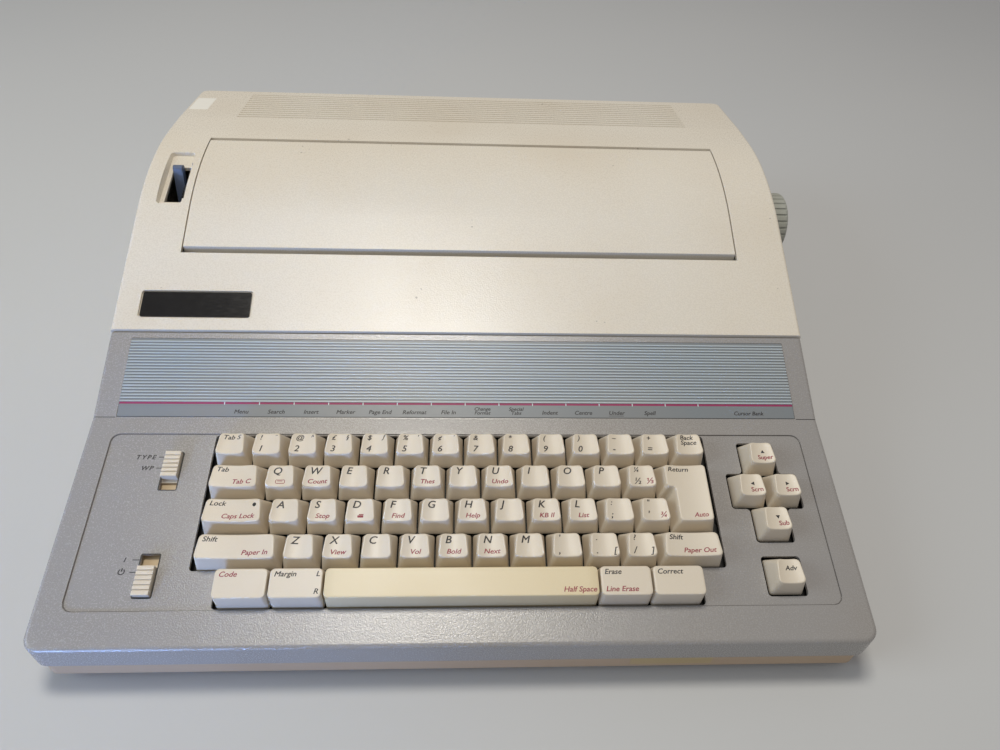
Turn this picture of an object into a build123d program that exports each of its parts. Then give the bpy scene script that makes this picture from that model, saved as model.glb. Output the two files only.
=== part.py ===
"""Electronic word processor with a built-in keyboard and a daisy-wheel printer under a hinged lid.

Millimetres. +X is the user's right, +Y points to the back, +Z is up. The machine is drawn about its own
middle plane with y counted from the front edge, and put() moves every finished piece so that the origin is
the middle of the whole machine's footprint, with the rubber feet at z = 0.
"""
import os
from math import atan2, cos, pi, radians, sin, sqrt, tan

from build123d import *

os.makedirs("parts", exist_ok=True)

# ---------------------------------------------------------------- driving dimensions
WIDTH = 412.0            # case, side to side
DEPTH = 420.0            # case, front to back
WALL = 2.5               # moulded walls
CASE_EDGE = 2.0          # radius along the side edges
FOOT_HEIGHT = 5.0        # rubber feet lift the tray this much
FIT = 0.05               # radial clearance of shafts and pins in their holes
SEAT = 0.3               # gap between separate moulded pieces that lie next to each other
SLIDE = 0.2              # side clearance of square stems in their guides

# keyboard deck
DECK_SLOPE = 12.0        # degrees
DECK_FRONT_Z = 35.0      # top of the front edge
DECK_LENGTH = 125.0      # front edge to the crease below the function strip
DECK_EDGE = 2.5          # radius of the deck's top edges
CORNER = 8.0             # radius of the front corners, seen from above
RIM = 15.0               # height of the deck's rim
STRIP_SLOPE = 22.0       # degrees, facet that carries the function strip
STRIP_LENGTH = 53.0      # crease to the top edge of that facet
FLANGE_REACH = 9.0       # flange that passes under the case's front edge
FLANGE_GAP = 0.9         # between that flange and the case

# case profile behind the deck
CASE_FRONT_Y = 172.5
CASE_FRONT_Z = 82.3
FRONT_SLOPE = 21.6       # degrees
FRONT_RUN = 83.4         # straight length up the slope
TOP_RADIUS = 182.7
TOP_SLOPE = 5.0          # degrees down to the back
CREASE_Y = 358.6         # crease where the ribbed part starts
REAR_SLOPE = 7.5         # degrees down to the back
REAR_EDGE = 6.0          # radius of the top rear edge

# ribbed part of the case
RIB_HALF = 165.0
RIB_COUNT = 12
RIB_PITCH = 4.55
RIB_GROOVE = 1.6
RIB_DEPTH = 0.8
RIB_START = 2.0          # first groove behind the crease

# base tray
BASE_IN = 2.0            # tray wall inside the case's outline
BASE_EDGE = 2.0          # chamfer round the underside
FOOT_R = 9.0
FOOT_X = 165.0
FOOT_YS = (32.0, 392.0)
SCREW_R = 1.7
SCREW_HEAD_R = 3.5
SCREW_HEAD = 2.2
SCREW_SINK = 3.0         # depth of the countersunk seat in the tray
SCREW_GRIP = 8.0         # length of the screw in the upper shells
BOSS_R = 5.0
SCREW_X = 192.0
SCREW_YS = (14.0, 188.0, 404.0)

# lid
LID_HALF = 173.0
LID_FRONT_Y = 226.0
LID_REAR_Y = 321.0
LID_THICK = 2.5
LID_GAP = 0.8
LID_LIP = 5.0            # height of the turned-down front edge
GRIP = 4.2               # finger gap in front of the lid
GRIP_FLOOR = 10.5        # depth of the floor under that gap
GRIP_UNDER = 5.0         # reach of that floor under the lid
SHELF = 1.5
LEDGE = 3.0              # ledge that the lid rests on
HINGE_R = 3.4            # the lid's rear edge turns about its pin with this radius
HINGE_PIN_R = 1.5
HINGE_EAR_R = 3.0
HINGE_EAR = 5.0          # width of a lid ear
HINGE_EAR_IN = 2.0       # ear inside the lid's side
HINGE_BOSS = 6.0         # width of a case boss
HINGE_BOSS_R = 4.0

# platen and its drive
PLATEN_Y = 276.5
PLATEN_Z = 94.5
PLATEN_R = 16.0
PLATEN_HALF = 150.0
SHAFT_R = 4.0
BUSH_R = 6.5
BUSH_WIDTH = 4.0
KNOB_R = 20.5
KNOB_PROUD = 12.0        # knob's outer face, from the case's side
KNOB_GAP = 1.0
KNOB_EDGE = 3.0
KNOB_CAP = 2.0           # solid end of the knob, past the shaft
KNOB_RIBS = 30
KNOB_GROOVE_R = 0.8
SHAFT_HOLE_R = 6.0       # in the case's side
GEAR_MODULE = 0.7
PLATEN_TEETH = 54
PINION_TEETH = 18
PRESSURE_ANGLE = 20.0
BACKLASH = 0.14
GEAR_WIDTH = 5.0
GEAR_GAP = 2.0           # side frame to gears
MESH_ANGLE = -60.0       # degrees, direction from the platen to its pinion
MOTOR_R = 12.0
MOTOR_LENGTH = 22.0
MOTOR_SHAFT_R = 1.5
MOTOR_BORE = 12.0        # length of the shaft inside a motor
FEED_ROLLER_R = 5.0
FEED_SHAFT_R = 2.0
FEED_ROLLER_WIDTH = 26.0
FEED_ROLLER_PLACES = (-120.0, -40.0, 40.0, 120.0)
FEED_ANGLE = -110.0      # degrees, direction from the platen to the feed rollers
PAN_GAP = 1.0            # feed shaft to paper pan
PAN_THICK = 1.0
PAN_FROM = -130.0        # degrees round the platen
PAN_RISE = 13.5          # straight part at the back
PAN_WINDOW = 30.0        # width of a roller window
PAN_WINDOW_SPAN = (-126.0, -94.0)
PAN_TAB_SPAN = (-115.0, -95.0)

# side frames and carriage
FRAME_X = 175.0          # middle of the side frame's sheet
FRAME_THICK = 2.0
FRAME_FRONT_Y = 186.0
FRAME_STEP_Y = 302.0     # the frame is lower behind this, clear of the hinge
FRAME_BACK_Y = 326.0
FRAME_BACK_Z = 100.0
FRAME_MARGIN = 3.0       # under the case's skin
FRAME_FOOT = 12.0        # width of the foot flange
SHELF_REACH = 40.0       # shelves that carry the belt drive
ROD_Y = 214.0
ROD_Z = 50.0
ROD_R = 4.0
ROD_OUT = 2.0            # rod ends, outside the frames
RAIL_Y = 247.0
RAIL_Z = 36.0
RAIL_DEPTH = 8.0
RAIL_THICK = 3.0
CARRIAGE_HALF = 45.0
CARRIAGE_FRONT_Y = 208.0
CARRIAGE_BACK_Y = 252.0
CARRIAGE_BOTTOM_Z = 44.0
CARRIAGE_TOP_Z = 80.0
CHEEK = 3.0
SHEET = 1.5
DECKING = 2.0            # carriage top, bottom and bulkhead
SHOE = 8.0               # half width of the shoe on the rear rail
CLAMP = 8.0              # half width of the belt clamp
PULLEY_X = 150.0
PULLEY_Y = 195.0
PULLEY_R = 6.0
PULLEY_FLANGE_R = 8.5
PULLEY_FLANGE = 0.8
PULLEY_HEIGHT = 7.0
PULLEY_LIFT = 1.0        # above its shelf
BELT_THICK = 1.2
BELT_HEIGHT = 4.6
SHELF_Z = 48.0           # underside of the shelves
SHELF_THICK = 2.0
WHEEL_R = 36.0
WHEEL_THICK = 1.2
WHEEL_Y = 256.0
WHEEL_DROP = 33.0        # wheel's middle below the printing line
WHEEL_HUB_R = 7.0
WHEEL_DISC_R = 14.0
PETALS = 96
PETAL_WIDTH = 0.7
PETAL_PAD = 1.5
PETAL_PAD_LENGTH = 3.4
WHEEL_SHAFT_R = 2.0
WHEEL_MOTOR_R = 15.0
WHEEL_MOTOR_LENGTH = 20.0
HAMMER_R = 1.5
HAMMER_TIP_GAP = 2.5     # hammer's tip to the wheel, at rest
HAMMER_LENGTH = 13.0
COIL_R = 5.0
COIL_FRONT_Y = 234.0
COIL_LENGTH = 16.0
COIL_STEM = 4.0          # half width of the coil's bracket
CASSETTE_HALF = 48.0
CASSETTE_HEIGHT = 8.2
CASSETTE_FRONT_Y = 210.0
CASSETTE_BACK_Y = 246.0
CASSETTE_NOTCH = 8.5     # half width of the notch for the hammer
CASSETTE_NOTCH_Y = 232.0
CASSETTE_ARM = 8.0
CASSETTE_ARM_Y = 258.5

# paper bail
BAIL_ROLLER_R = 4.0
BAIL_ROLLER_WIDTH = 16.0
BAIL_ROLLER_PLACES = (-80.0, 0.0, 80.0)
BAIL_ROD_R = 2.0
BAIL_ANGLE = 145.0       # degrees, direction from the platen to the rod
BAIL_PIVOT_Z = 72.0
BAIL_ARM_X = 163.0
BAIL_ARM = 2.0
BAIL_ARM_WIDTH = 6.0
BAIL_EYE_R = 4.0
BAIL_PIN_R = 2.0

# paper release lever and its recess in the case
LEVER_X = -187.4
LEVER_WIDTH = 6.0
LEVER_PIVOT_Y = 270.0
LEVER_PIVOT_Z = 60.0
LEVER_LEAN = 16.0        # degrees back from upright, at rest
LEVER_LENGTH = 66.0
LEVER_TAIL = 14.0
LEVER_DEPTH = 5.0
LEVER_EYE_R = 6.0
LEVER_PIN_R = 3.0
RECESS_X = -187.0
RECESS_WIDTH = 19.0
RECESS_FRONT_Y = 253.5
RECESS_REAR_Y = 303.0
RECESS_DEPTH = 4.0
RECESS_IN = 2.5          # side slopes of the recess
RECESS_PAD = 5.7         # depth of the thicker skin round the recess
RECESS_RIM = 3.0
SLOT_X = -184.7
SLOT_WIDTH = 13.0
SLOT_FRONT_Y = 259.5
SLOT_REAR_Y = 290.5

# keyboard
PITCH = 19.05
ROWS = 5
KEYS_FRONT_S = 19.05     # front of the lowest row, up the deck
KEY_GAP = 0.8
SKIRT = 1.0              # cap's lower edge above the deck
CAP_TOP = 11.0           # cap's top above the deck
CAP_WALL = 1.3
CAP_CORNER = 1.2
DISH = 0.9
SIDE_IN = 2.9            # how far the cap's top is inside its foot: sides, front, back
FRONT_IN = 0.9
BACK_IN = 4.3
BAR_SIDE_IN = 0.5        # the same for the flat keys of the lowest row
BAR_FRONT_IN = 1.6
BAR_BACK_IN = 3.2
BAR_KEY = 26.0           # cell of a short key in the lowest row
BAR_LENGTH = 132.4       # cell of the space bar
STEM = 5.0
STEM_SPREAD = 38.1       # the space bar's stems, from its middle
TRAVEL = 3.5
WELL_SIDE = 2.7          # well edges outside the keys
WELL_END = 0.2
BAR_WELL_SIDE = 3.6
CURSOR_X = 165.0
CURSOR_S = 80.6
ADVANCE_S = 33.3
CURSOR_WELL = 0.9
WELL_CORNER = 2.0        # radius of the wells' corners, seen from above
PANEL_HALF = 192.3       # recessed field round the keys
PANEL_FRONT_S = 18.2
PANEL_BACK_S = 115.2
PANEL_DROP = 0.6
PANEL_CORNER = 5.0
PLATE_HALF = 184.0
PLATE_FROM_S = 15.0
PLATE_TO_S = 118.0
PLATE_DROP = 9.0         # top of the key plate below the deck
PLATE_THICK = 2.0
GUIDE_HEIGHT = 5.5
GUIDE_WALL = 1.8
POST_R = 3.5
POST_XS = (-143.5, 140.5)
POST_SS = (30.0, 66.0, 100.0)
BOARD_GAP = 5.0          # key plate to keyboard board
BOARD_THICK = 1.6
BOARD_IN = 3.0           # board inside the key plate's outline

# slide switches
SWITCH_X = -156.0
SWITCH_WIDTH = 9.0
SWITCH_SLOT = 21.7
SLIDER_LENGTH = 14.6
SLIDER_GAP = 0.4
SWITCH_TRAVEL = 6.3
SLIDER_PROUD = 2.6
SLIDER_RIBS = 5
SLIDER_RIB = 0.7
SLIDER_FOOT = 1.2
SLIDER_FOOT_OUT = 1.8
MODE_S = 92.7            # middle of each slot, up the deck
POWER_S = 35.8
HOUSING_WIDTH = 14.0
HOUSING_LENGTH = 28.0

# function strip and badge plate
STRIP_HALF = 192.6
STRIP_START = 1.0        # from the crease
STRIP_HEIGHT = 48.2
STRIP_THICK = 1.0
STRIP_POCKET = 0.8
STRIP_RIDGES = 21
RIDGE_START = 10.2
RIDGE_PITCH = 1.85
RIDGE_WIDTH = 0.9
RIDGE_HEIGHT = 0.35
BADGE_X = -159.2
BADGE_RISE = 17.2        # pocket's middle, up the case's front slope
BADGE_WIDTH = 65.5
BADGE_HEIGHT = 18.3
BADGE_POCKET = 1.2
BADGE_THICK = 0.9
BADGE_GAP = 0.9
BADGE_CORNER = 2.0

# boards and connectors
MAIN_BOARD_X = 30.0
MAIN_BOARD_Y = 335.0
MAIN_BOARD_WIDTH = 200.0
MAIN_BOARD_DEPTH = 120.0
STANDOFF = 5.0
STANDOFF_R = 3.0
CHIP = (36.0, 14.0, 4.0)
CHIP_COLUMNS = 4
CHIP_ROWS = 3
CHIP_STEP_X = 44.0
CHIP_STEP_Y = 26.0
TRANSFORMER_X = -140.0
TRANSFORMER_Y = 366.0
TRANSFORMER_CORE = (66.0, 30.0, 46.0)
TRANSFORMER_COIL = (42.0, 50.0, 30.0)
INLET_X = -70.0
CONNECTOR_Z = 30.0
INLET_WIDTH = 27.0
INLET_HEIGHT = 20.0
INLET_DEPTH = 22.0
INLET_WALL = 2.0
INLET_PIN = (2.0, 4.0)
INLET_PIN_STEP = 7.0
INLET_PIN_LENGTH = 8.0
PORT_X = 80.0
PORT_WIDTH = 31.0
PORT_HEIGHT = 12.5
PORT_DEPTH = 14.0
PORT_WALL = 1.2
PORT_TONGUE = 3.0
PORT_FRONT_FREE = 5.0    # empty length in front of the tongue and the pins

# ---------------------------------------------------------------- places worked out from them
HALF = WIDTH / 2
INNER = HALF - WALL
BASE_HALF = HALF - BASE_IN
FLOOR = FOOT_HEIGHT + WALL
MIDDLE_X = -KNOB_PROUD / 2
PARTING_FRONT_Z = DECK_FRONT_Z - RIM
DECK_TILT = radians(DECK_SLOPE)
STRIP_TILT = radians(STRIP_SLOPE)
FRONT_TILT = radians(FRONT_SLOPE)
TOP_TILT = radians(TOP_SLOPE)
REAR_TILT = radians(REAR_SLOPE)
PARTING_Z = PARTING_FRONT_Z + CASE_FRONT_Y * tan(DECK_TILT)
DECK = Plane(origin=(0, 0, DECK_FRONT_Z), x_dir=(1, 0, 0), z_dir=(0, -sin(DECK_TILT), cos(DECK_TILT)))
CREASE = (DECK_LENGTH * cos(DECK_TILT), DECK_FRONT_Z + DECK_LENGTH * sin(DECK_TILT))
STRIP = Plane(origin=(0, *CREASE), x_dir=(1, 0, 0), z_dir=(0, -sin(STRIP_TILT), cos(STRIP_TILT)))
STRIP_END = (CREASE[0] + STRIP_LENGTH * cos(STRIP_TILT), CREASE[1] + STRIP_LENGTH * sin(STRIP_TILT))
FACE = Plane(
    origin=(0, CASE_FRONT_Y, CASE_FRONT_Z), x_dir=(1, 0, 0), z_dir=(0, -sin(FRONT_TILT), cos(FRONT_TILT)),
)
ARC_START = (CASE_FRONT_Y + FRONT_RUN * cos(FRONT_TILT), CASE_FRONT_Z + FRONT_RUN * sin(FRONT_TILT))
ARC_CENTRE = (ARC_START[0] + TOP_RADIUS * sin(FRONT_TILT), ARC_START[1] - TOP_RADIUS * cos(FRONT_TILT))
WHEEL_Z = PLATEN_Z - WHEEL_DROP


def put(piece, name):
    """Moves a finished piece into the machine's frame, labels it and writes it."""
    placed = piece.moved(Location((MIDDLE_X, -DEPTH / 2, 0)))
    placed.label = name
    export_step(placed, f"parts/{name}.step")


def top_z(y, depth=0.0):
    """Height of the case's outer skin at y, or of the surface that lies depth inside it."""
    radius = TOP_RADIUS - depth
    if y <= ARC_CENTRE[0] - radius * sin(FRONT_TILT):
        return CASE_FRONT_Z + (y - CASE_FRONT_Y) * tan(FRONT_TILT) - depth / cos(FRONT_TILT)
    if y <= ARC_CENTRE[0] + radius * sin(TOP_TILT):
        return ARC_CENTRE[1] + sqrt(radius**2 - (y - ARC_CENTRE[0]) ** 2)
    end_y = ARC_CENTRE[0] + TOP_RADIUS * sin(TOP_TILT)
    crease_z = ARC_CENTRE[1] + TOP_RADIUS * cos(TOP_TILT) - (CREASE_Y - end_y) * tan(TOP_TILT)
    if y <= CREASE_Y:
        return crease_z + (CREASE_Y - y) * tan(TOP_TILT) - depth / cos(TOP_TILT)
    return crease_z - (y - CREASE_Y) * tan(REAR_TILT) - depth / cos(REAR_TILT)


REAR = Plane(
    origin=(0, CREASE_Y, top_z(CREASE_Y)), x_dir=(1, 0, 0), z_dir=(0, sin(REAR_TILT), cos(REAR_TILT)),
)
HINGE_Y = LID_REAR_Y - HINGE_R
HINGE_Z = top_z(HINGE_Y) - HINGE_R


def skin_line(depth, start_y, end_y):
    """Draws the case's top line, depth inside the skin, from start_y to end_y, and returns its ends."""
    radius = TOP_RADIUS - depth
    arc_from = max(start_y, ARC_CENTRE[0] - radius * sin(FRONT_TILT))
    arc_to = min(end_y, ARC_CENTRE[0] + radius * sin(TOP_TILT))
    if start_y < arc_from:
        Line((start_y, top_z(start_y, depth)), (min(arc_from, end_y), top_z(min(arc_from, end_y), depth)))
    if arc_from < arc_to:
        ThreePointArc(*((y, top_z(y, depth)) for y in (arc_from, (arc_from + arc_to) / 2, arc_to)))
    stops = [y for y in (arc_to, CREASE_Y, end_y) if arc_to <= y <= end_y]
    for y0, y1 in zip(stops[:-1], stops[1:]):
        if y1 > y0:
            Line((y0, top_z(y0, depth)), (y1, top_z(y1, depth)))
    return (start_y, top_z(start_y, depth)), (end_y, top_z(end_y, depth))


def skin_face(depth, start_y, end_y, bottom_z):
    """Face in the side view under the case's top line, down to bottom_z."""
    with BuildSketch(Plane.YZ) as face:
        with BuildLine():
            first, last = skin_line(depth, start_y, end_y)
            Polyline(last, (end_y, bottom_z), (start_y, bottom_z), first)
        make_face()
    return face.sketch


def skin_band(outer, inner, start_y, end_y):
    """Face in the side view between two depths inside the skin."""
    with BuildSketch(Plane.YZ) as face:
        with BuildLine():
            first, last = skin_line(outer, start_y, end_y)
            under_first, under_last = skin_line(inner, start_y, end_y)
            Line(first, under_first)
            Line(last, under_last)
        make_face()
    return face.sketch


def side_face(points):
    """Polygon in the side view, from (y, z) points."""
    with BuildSketch(Plane.YZ) as face:
        with BuildLine():
            Polyline(*points, close=True)
        make_face()
    return face.sketch


def slab(face, x0, x1, mode=Mode.ADD):
    """Extrudes a side-view face from x0 to x1."""
    extrude(face.moved(Location((x0, 0, 0))), amount=x1 - x0, dir=(1, 0, 0), mode=mode)


def block(x0, x1, y0, y1, z0, z1, mode=Mode.ADD):
    """Box between two corners."""
    with Locations(((x0 + x1) / 2, (y0 + y1) / 2, (z0 + z1) / 2)):
        return Box(abs(x1 - x0), abs(y1 - y0), abs(z1 - z0), mode=mode)


def rod_x(y, z, radius, x0, x1, mode=Mode.ADD):
    """Round bar along X."""
    with Locations(Location(((x0 + x1) / 2, y, z), (0, 90, 0))):
        return Cylinder(radius, abs(x1 - x0), mode=mode)


def rod_y(x, z, radius, y0, y1, mode=Mode.ADD):
    """Round bar along Y."""
    with Locations(Location((x, (y0 + y1) / 2, z), (90, 0, 0))):
        return Cylinder(radius, abs(y1 - y0), mode=mode)


def rod_z(x, y, radius, z0, z1, mode=Mode.ADD):
    """Round bar along Z."""
    with Locations((x, y, (z0 + z1) / 2)):
        return Cylinder(radius, abs(z1 - z0), mode=mode)


def about(angle, radius):
    """Point (y, z) round the platen's axis, at an angle in degrees from straight back."""
    return (PLATEN_Y + radius * cos(radians(angle)), PLATEN_Z + radius * sin(radians(angle)))


def on_deck(part):
    """Takes a part from the deck's own frame to where the deck is."""
    return part.moved(DECK.location)


# ---------------------------------------------------------------- keyboard layout
KEYS_HALF = 7 * PITCH
KEYS_BACK_S = KEYS_FRONT_S + ROWS * PITCH


def row_cells(row, widths):
    """Cells (x0, x1, s0, s1) of one row. Row 0 is the lowest, widths are in key pitches."""
    s0 = KEYS_FRONT_S + row * PITCH
    cells, x = [], -KEYS_HALF
    for width in widths:
        cells.append((x, x + width * PITCH, s0, s0 + PITCH))
        x += width * PITCH
    return cells


def square_cell(x, s):
    """Cell of one square key about a middle point."""
    return (x - PITCH / 2, x + PITCH / 2, s - PITCH / 2, s + PITCH / 2)


def bar_cells():
    """Cells of the lowest row: two short keys, the space bar and two short keys."""
    edges = [-BAR_LENGTH / 2 - 2 * BAR_KEY]
    for width in (BAR_KEY, BAR_KEY, BAR_LENGTH, BAR_KEY, BAR_KEY):
        edges.append(edges[-1] + width)
    return [(x0, x1, KEYS_FRONT_S, KEYS_FRONT_S + PITCH) for x0, x1 in zip(edges[:-1], edges[1:])]


NUMBER_ROW = row_cells(4, [1] * 14)
UPPER_ROW = row_cells(3, [1.5] + [1] * 11 + [1.5])
HOME_ROW = row_cells(2, [1.75] + [1] * 11 + [1.25])
LOWER_ROW = row_cells(1, [2.25] + [1] * 10 + [1.75])
CURSOR_CELLS = [
    square_cell(CURSOR_X, CURSOR_S + PITCH), square_cell(CURSOR_X, CURSOR_S - PITCH),
    square_cell(CURSOR_X - PITCH / 2, CURSOR_S), square_cell(CURSOR_X + PITCH / 2, CURSOR_S),
]
ADVANCE_CELL = square_cell(CURSOR_X, ADVANCE_S)
DISHED_KEYS = {
    "number_row_keys": NUMBER_ROW,
    "upper_row_keys": UPPER_ROW[1:12],
    "home_row_keys": HOME_ROW[1:12],
    "lower_row_keys": LOWER_ROW[1:11],
    "cursor_keys": CURSOR_CELLS,
    "paper_advance_key": [ADVANCE_CELL],
    "tab_key": [UPPER_ROW[0]],
    "lock_key": [HOME_ROW[0]],
    "left_shift_key": [LOWER_ROW[0]],
    "right_shift_key": [LOWER_ROW[11]],
}
BAR_KEYS = dict(zip(("code_key", "margin_key", "space_bar", "word_erase_key", "correct_key"), bar_cells()))
RETURN_UPPER = UPPER_ROW[12]
RETURN_LOWER = HOME_ROW[12]
RETURN_STEM = ((RETURN_LOWER[0] + RETURN_LOWER[1]) / 2, RETURN_LOWER[3])
STEM_FOOT = -PLATE_DROP - PLATE_THICK - BOARD_GAP + TRAVEL + SEAT


def middle(cell):
    """Middle point of a cell."""
    return ((cell[0] + cell[1]) / 2, (cell[2] + cell[3]) / 2)


def stem_places(cell):
    """Where the stems stand under a cap: one in the middle, or two under the space bar."""
    x, s = middle(cell)
    if cell[1] - cell[0] < 2 * STEM_SPREAD:
        return [(x, s)]
    return [(x - STEM_SPREAD, s), (x + STEM_SPREAD, s)]


def rectangle(cell, side, front, back):
    """Corner points of a cell, drawn in at its sides, front and back."""
    x0, x1, s0, s1 = cell
    return [(x0 + side, s0 + front), (x1 - side, s0 + front), (x1 - side, s1 - back), (x0 + side, s1 - back)]


def return_outline(_, side, front, back):
    """The same for the return key, whose upper part reaches further left than its lower part."""
    upper, lower = RETURN_UPPER, RETURN_LOWER
    return [
        (lower[0] + side, lower[2] + front), (lower[1] - side, lower[2] + front),
        (upper[1] - side, upper[3] - back), (upper[0] + side, upper[3] - back),
        (upper[0] + side, upper[2] + front), (lower[0] + side, upper[2] + front),
    ]


def taper(foot, top, foot_n, top_n):
    """Tapered body between two outlines, in the deck's own frame."""
    with BuildPart() as body:
        for points, height in ((foot, foot_n), (top, top_n)):
            with BuildSketch(Plane.XY.offset(height)) as outline:
                with BuildLine():
                    Polyline(*points, close=True)
                make_face()
                fillet(outline.vertices(), CAP_CORNER)
        loft(ruled=True)
    return body.part


def keycap(cell, insets, stems, outline=rectangle, dished=True):
    """A hollow cap with its stems. The insets draw its top in at the sides, front and back."""
    side, front, back = insets
    edge = KEY_GAP / 2
    wall = edge + CAP_WALL
    ceiling = CAP_TOP - CAP_WALL - (DISH if dished else 0)
    share = (ceiling - SKIRT) / (CAP_TOP - SKIRT)
    outer = taper(
        outline(cell, edge, edge, edge), outline(cell, edge + side, edge + front, edge + back), SKIRT, CAP_TOP
    )
    inner = taper(
        outline(cell, wall, wall, wall),
        outline(cell, wall + side * share, wall + front * share, wall + back * share), SKIRT, ceiling,
    )
    top_width = cell[1] - cell[0] - 2 * (edge + side)
    radius = top_width**2 / (8 * DISH) + DISH / 2
    with BuildPart() as cap:
        add(outer)
        add(inner, mode=Mode.SUBTRACT)
        for x, s in stems:
            block(x - STEM / 2, x + STEM / 2, s - STEM / 2, s + STEM / 2, STEM_FOOT, ceiling + SEAT)
        if dished:
            rod_y(middle(cell)[0], CAP_TOP - DISH + radius, radius, cell[2], cell[3], mode=Mode.SUBTRACT)
    return cap.part


# ---------------------------------------------------------------- keys
DISHED_INSETS = (SIDE_IN, FRONT_IN, BACK_IN)
SQUARE_CAP = keycap(square_cell(0, 0), DISHED_INSETS, [(0, 0)])
for name, cells in DISHED_KEYS.items():
    with BuildPart() as keys:
        for cell in cells:
            if abs(cell[1] - cell[0] - PITCH) < SEAT:
                add(on_deck(SQUARE_CAP.moved(Location((*middle(cell), 0)))))
            else:
                add(on_deck(keycap(cell, DISHED_INSETS, stem_places(cell))))
    put(keys.part, name)

for name, cell in BAR_KEYS.items():
    bar = keycap(cell, (BAR_SIDE_IN, BAR_FRONT_IN, BAR_BACK_IN), stem_places(cell), dished=False)
    put(on_deck(bar), name)

RETURN_CELL = (RETURN_UPPER[0], RETURN_UPPER[1], RETURN_LOWER[2], RETURN_UPPER[3])
put(on_deck(keycap(RETURN_CELL, DISHED_INSETS, [RETURN_STEM], outline=return_outline)), "return_key")

ALL_STEMS = [place for cells in DISHED_KEYS.values() for cell in cells for place in stem_places(cell)]
ALL_STEMS += [place for cell in BAR_KEYS.values() for place in stem_places(cell)]
ALL_STEMS.append(RETURN_STEM)

# ---------------------------------------------------------------- keyboard deck
BAR_WELL_HALF = BAR_LENGTH / 2 + 2 * BAR_KEY + BAR_WELL_SIDE
KEYS_WELL_HALF = KEYS_HALF + WELL_SIDE
STEP_S = KEYS_FRONT_S + PITCH - WELL_END
MAIN_WELL = [
    (-BAR_WELL_HALF, KEYS_FRONT_S - WELL_END), (BAR_WELL_HALF, KEYS_FRONT_S - WELL_END),
    (BAR_WELL_HALF, STEP_S), (KEYS_WELL_HALF, STEP_S), (KEYS_WELL_HALF, KEYS_BACK_S + WELL_END),
    (-KEYS_WELL_HALF, KEYS_BACK_S + WELL_END), (-KEYS_WELL_HALF, STEP_S), (-BAR_WELL_HALF, STEP_S),
]
SMALL_WELLS = [CURSOR_CELLS[:2], CURSOR_CELLS[2:], [ADVANCE_CELL]]


def deck_bosses(z0, z1, radius, mode=Mode.ADD):
    """Round posts at the two front screw places."""
    for x in (-SCREW_X, SCREW_X):
        rod_z(x, SCREW_YS[0], radius, z0, z1, mode=mode)


def case_bosses(z0, z1, radius, mode=Mode.ADD):
    """Round posts at the four screw places under the upper case."""
    for x in (-SCREW_X, SCREW_X):
        for y in SCREW_YS[1:]:
            rod_z(x, y, radius, z0, z1, mode=mode)


def parting_z(y):
    """Height of the line between the tray and the shells above it."""
    return PARTING_FRONT_Z + min(y, CASE_FRONT_Y) * tan(DECK_TILT)


TALL = 2 * CASE_FRONT_Z
MEAN_TILT = (DECK_TILT + STRIP_TILT) / 2
MITRE = WALL / cos((STRIP_TILT - DECK_TILT) / 2)
INNER_CREASE = (CREASE[0] + MITRE * sin(MEAN_TILT), CREASE[1] - MITRE * cos(MEAN_TILT))
BEHIND = FLANGE_REACH + WALL
with BuildPart() as deck_hollow:
    slab(side_face([
        (WALL, 0), (WALL, DECK_FRONT_Z + WALL * tan(DECK_TILT) - WALL / cos(DECK_TILT)), INNER_CREASE,
        (STRIP_END[0] + BEHIND, STRIP_END[1] + BEHIND * tan(STRIP_TILT) - WALL / cos(STRIP_TILT)),
        (STRIP_END[0] + BEHIND, 0),
    ]), -INNER, INNER)
    deck_bosses(parting_z(SCREW_YS[0]) + SEAT, TALL, BOSS_R, mode=Mode.SUBTRACT)

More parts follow.
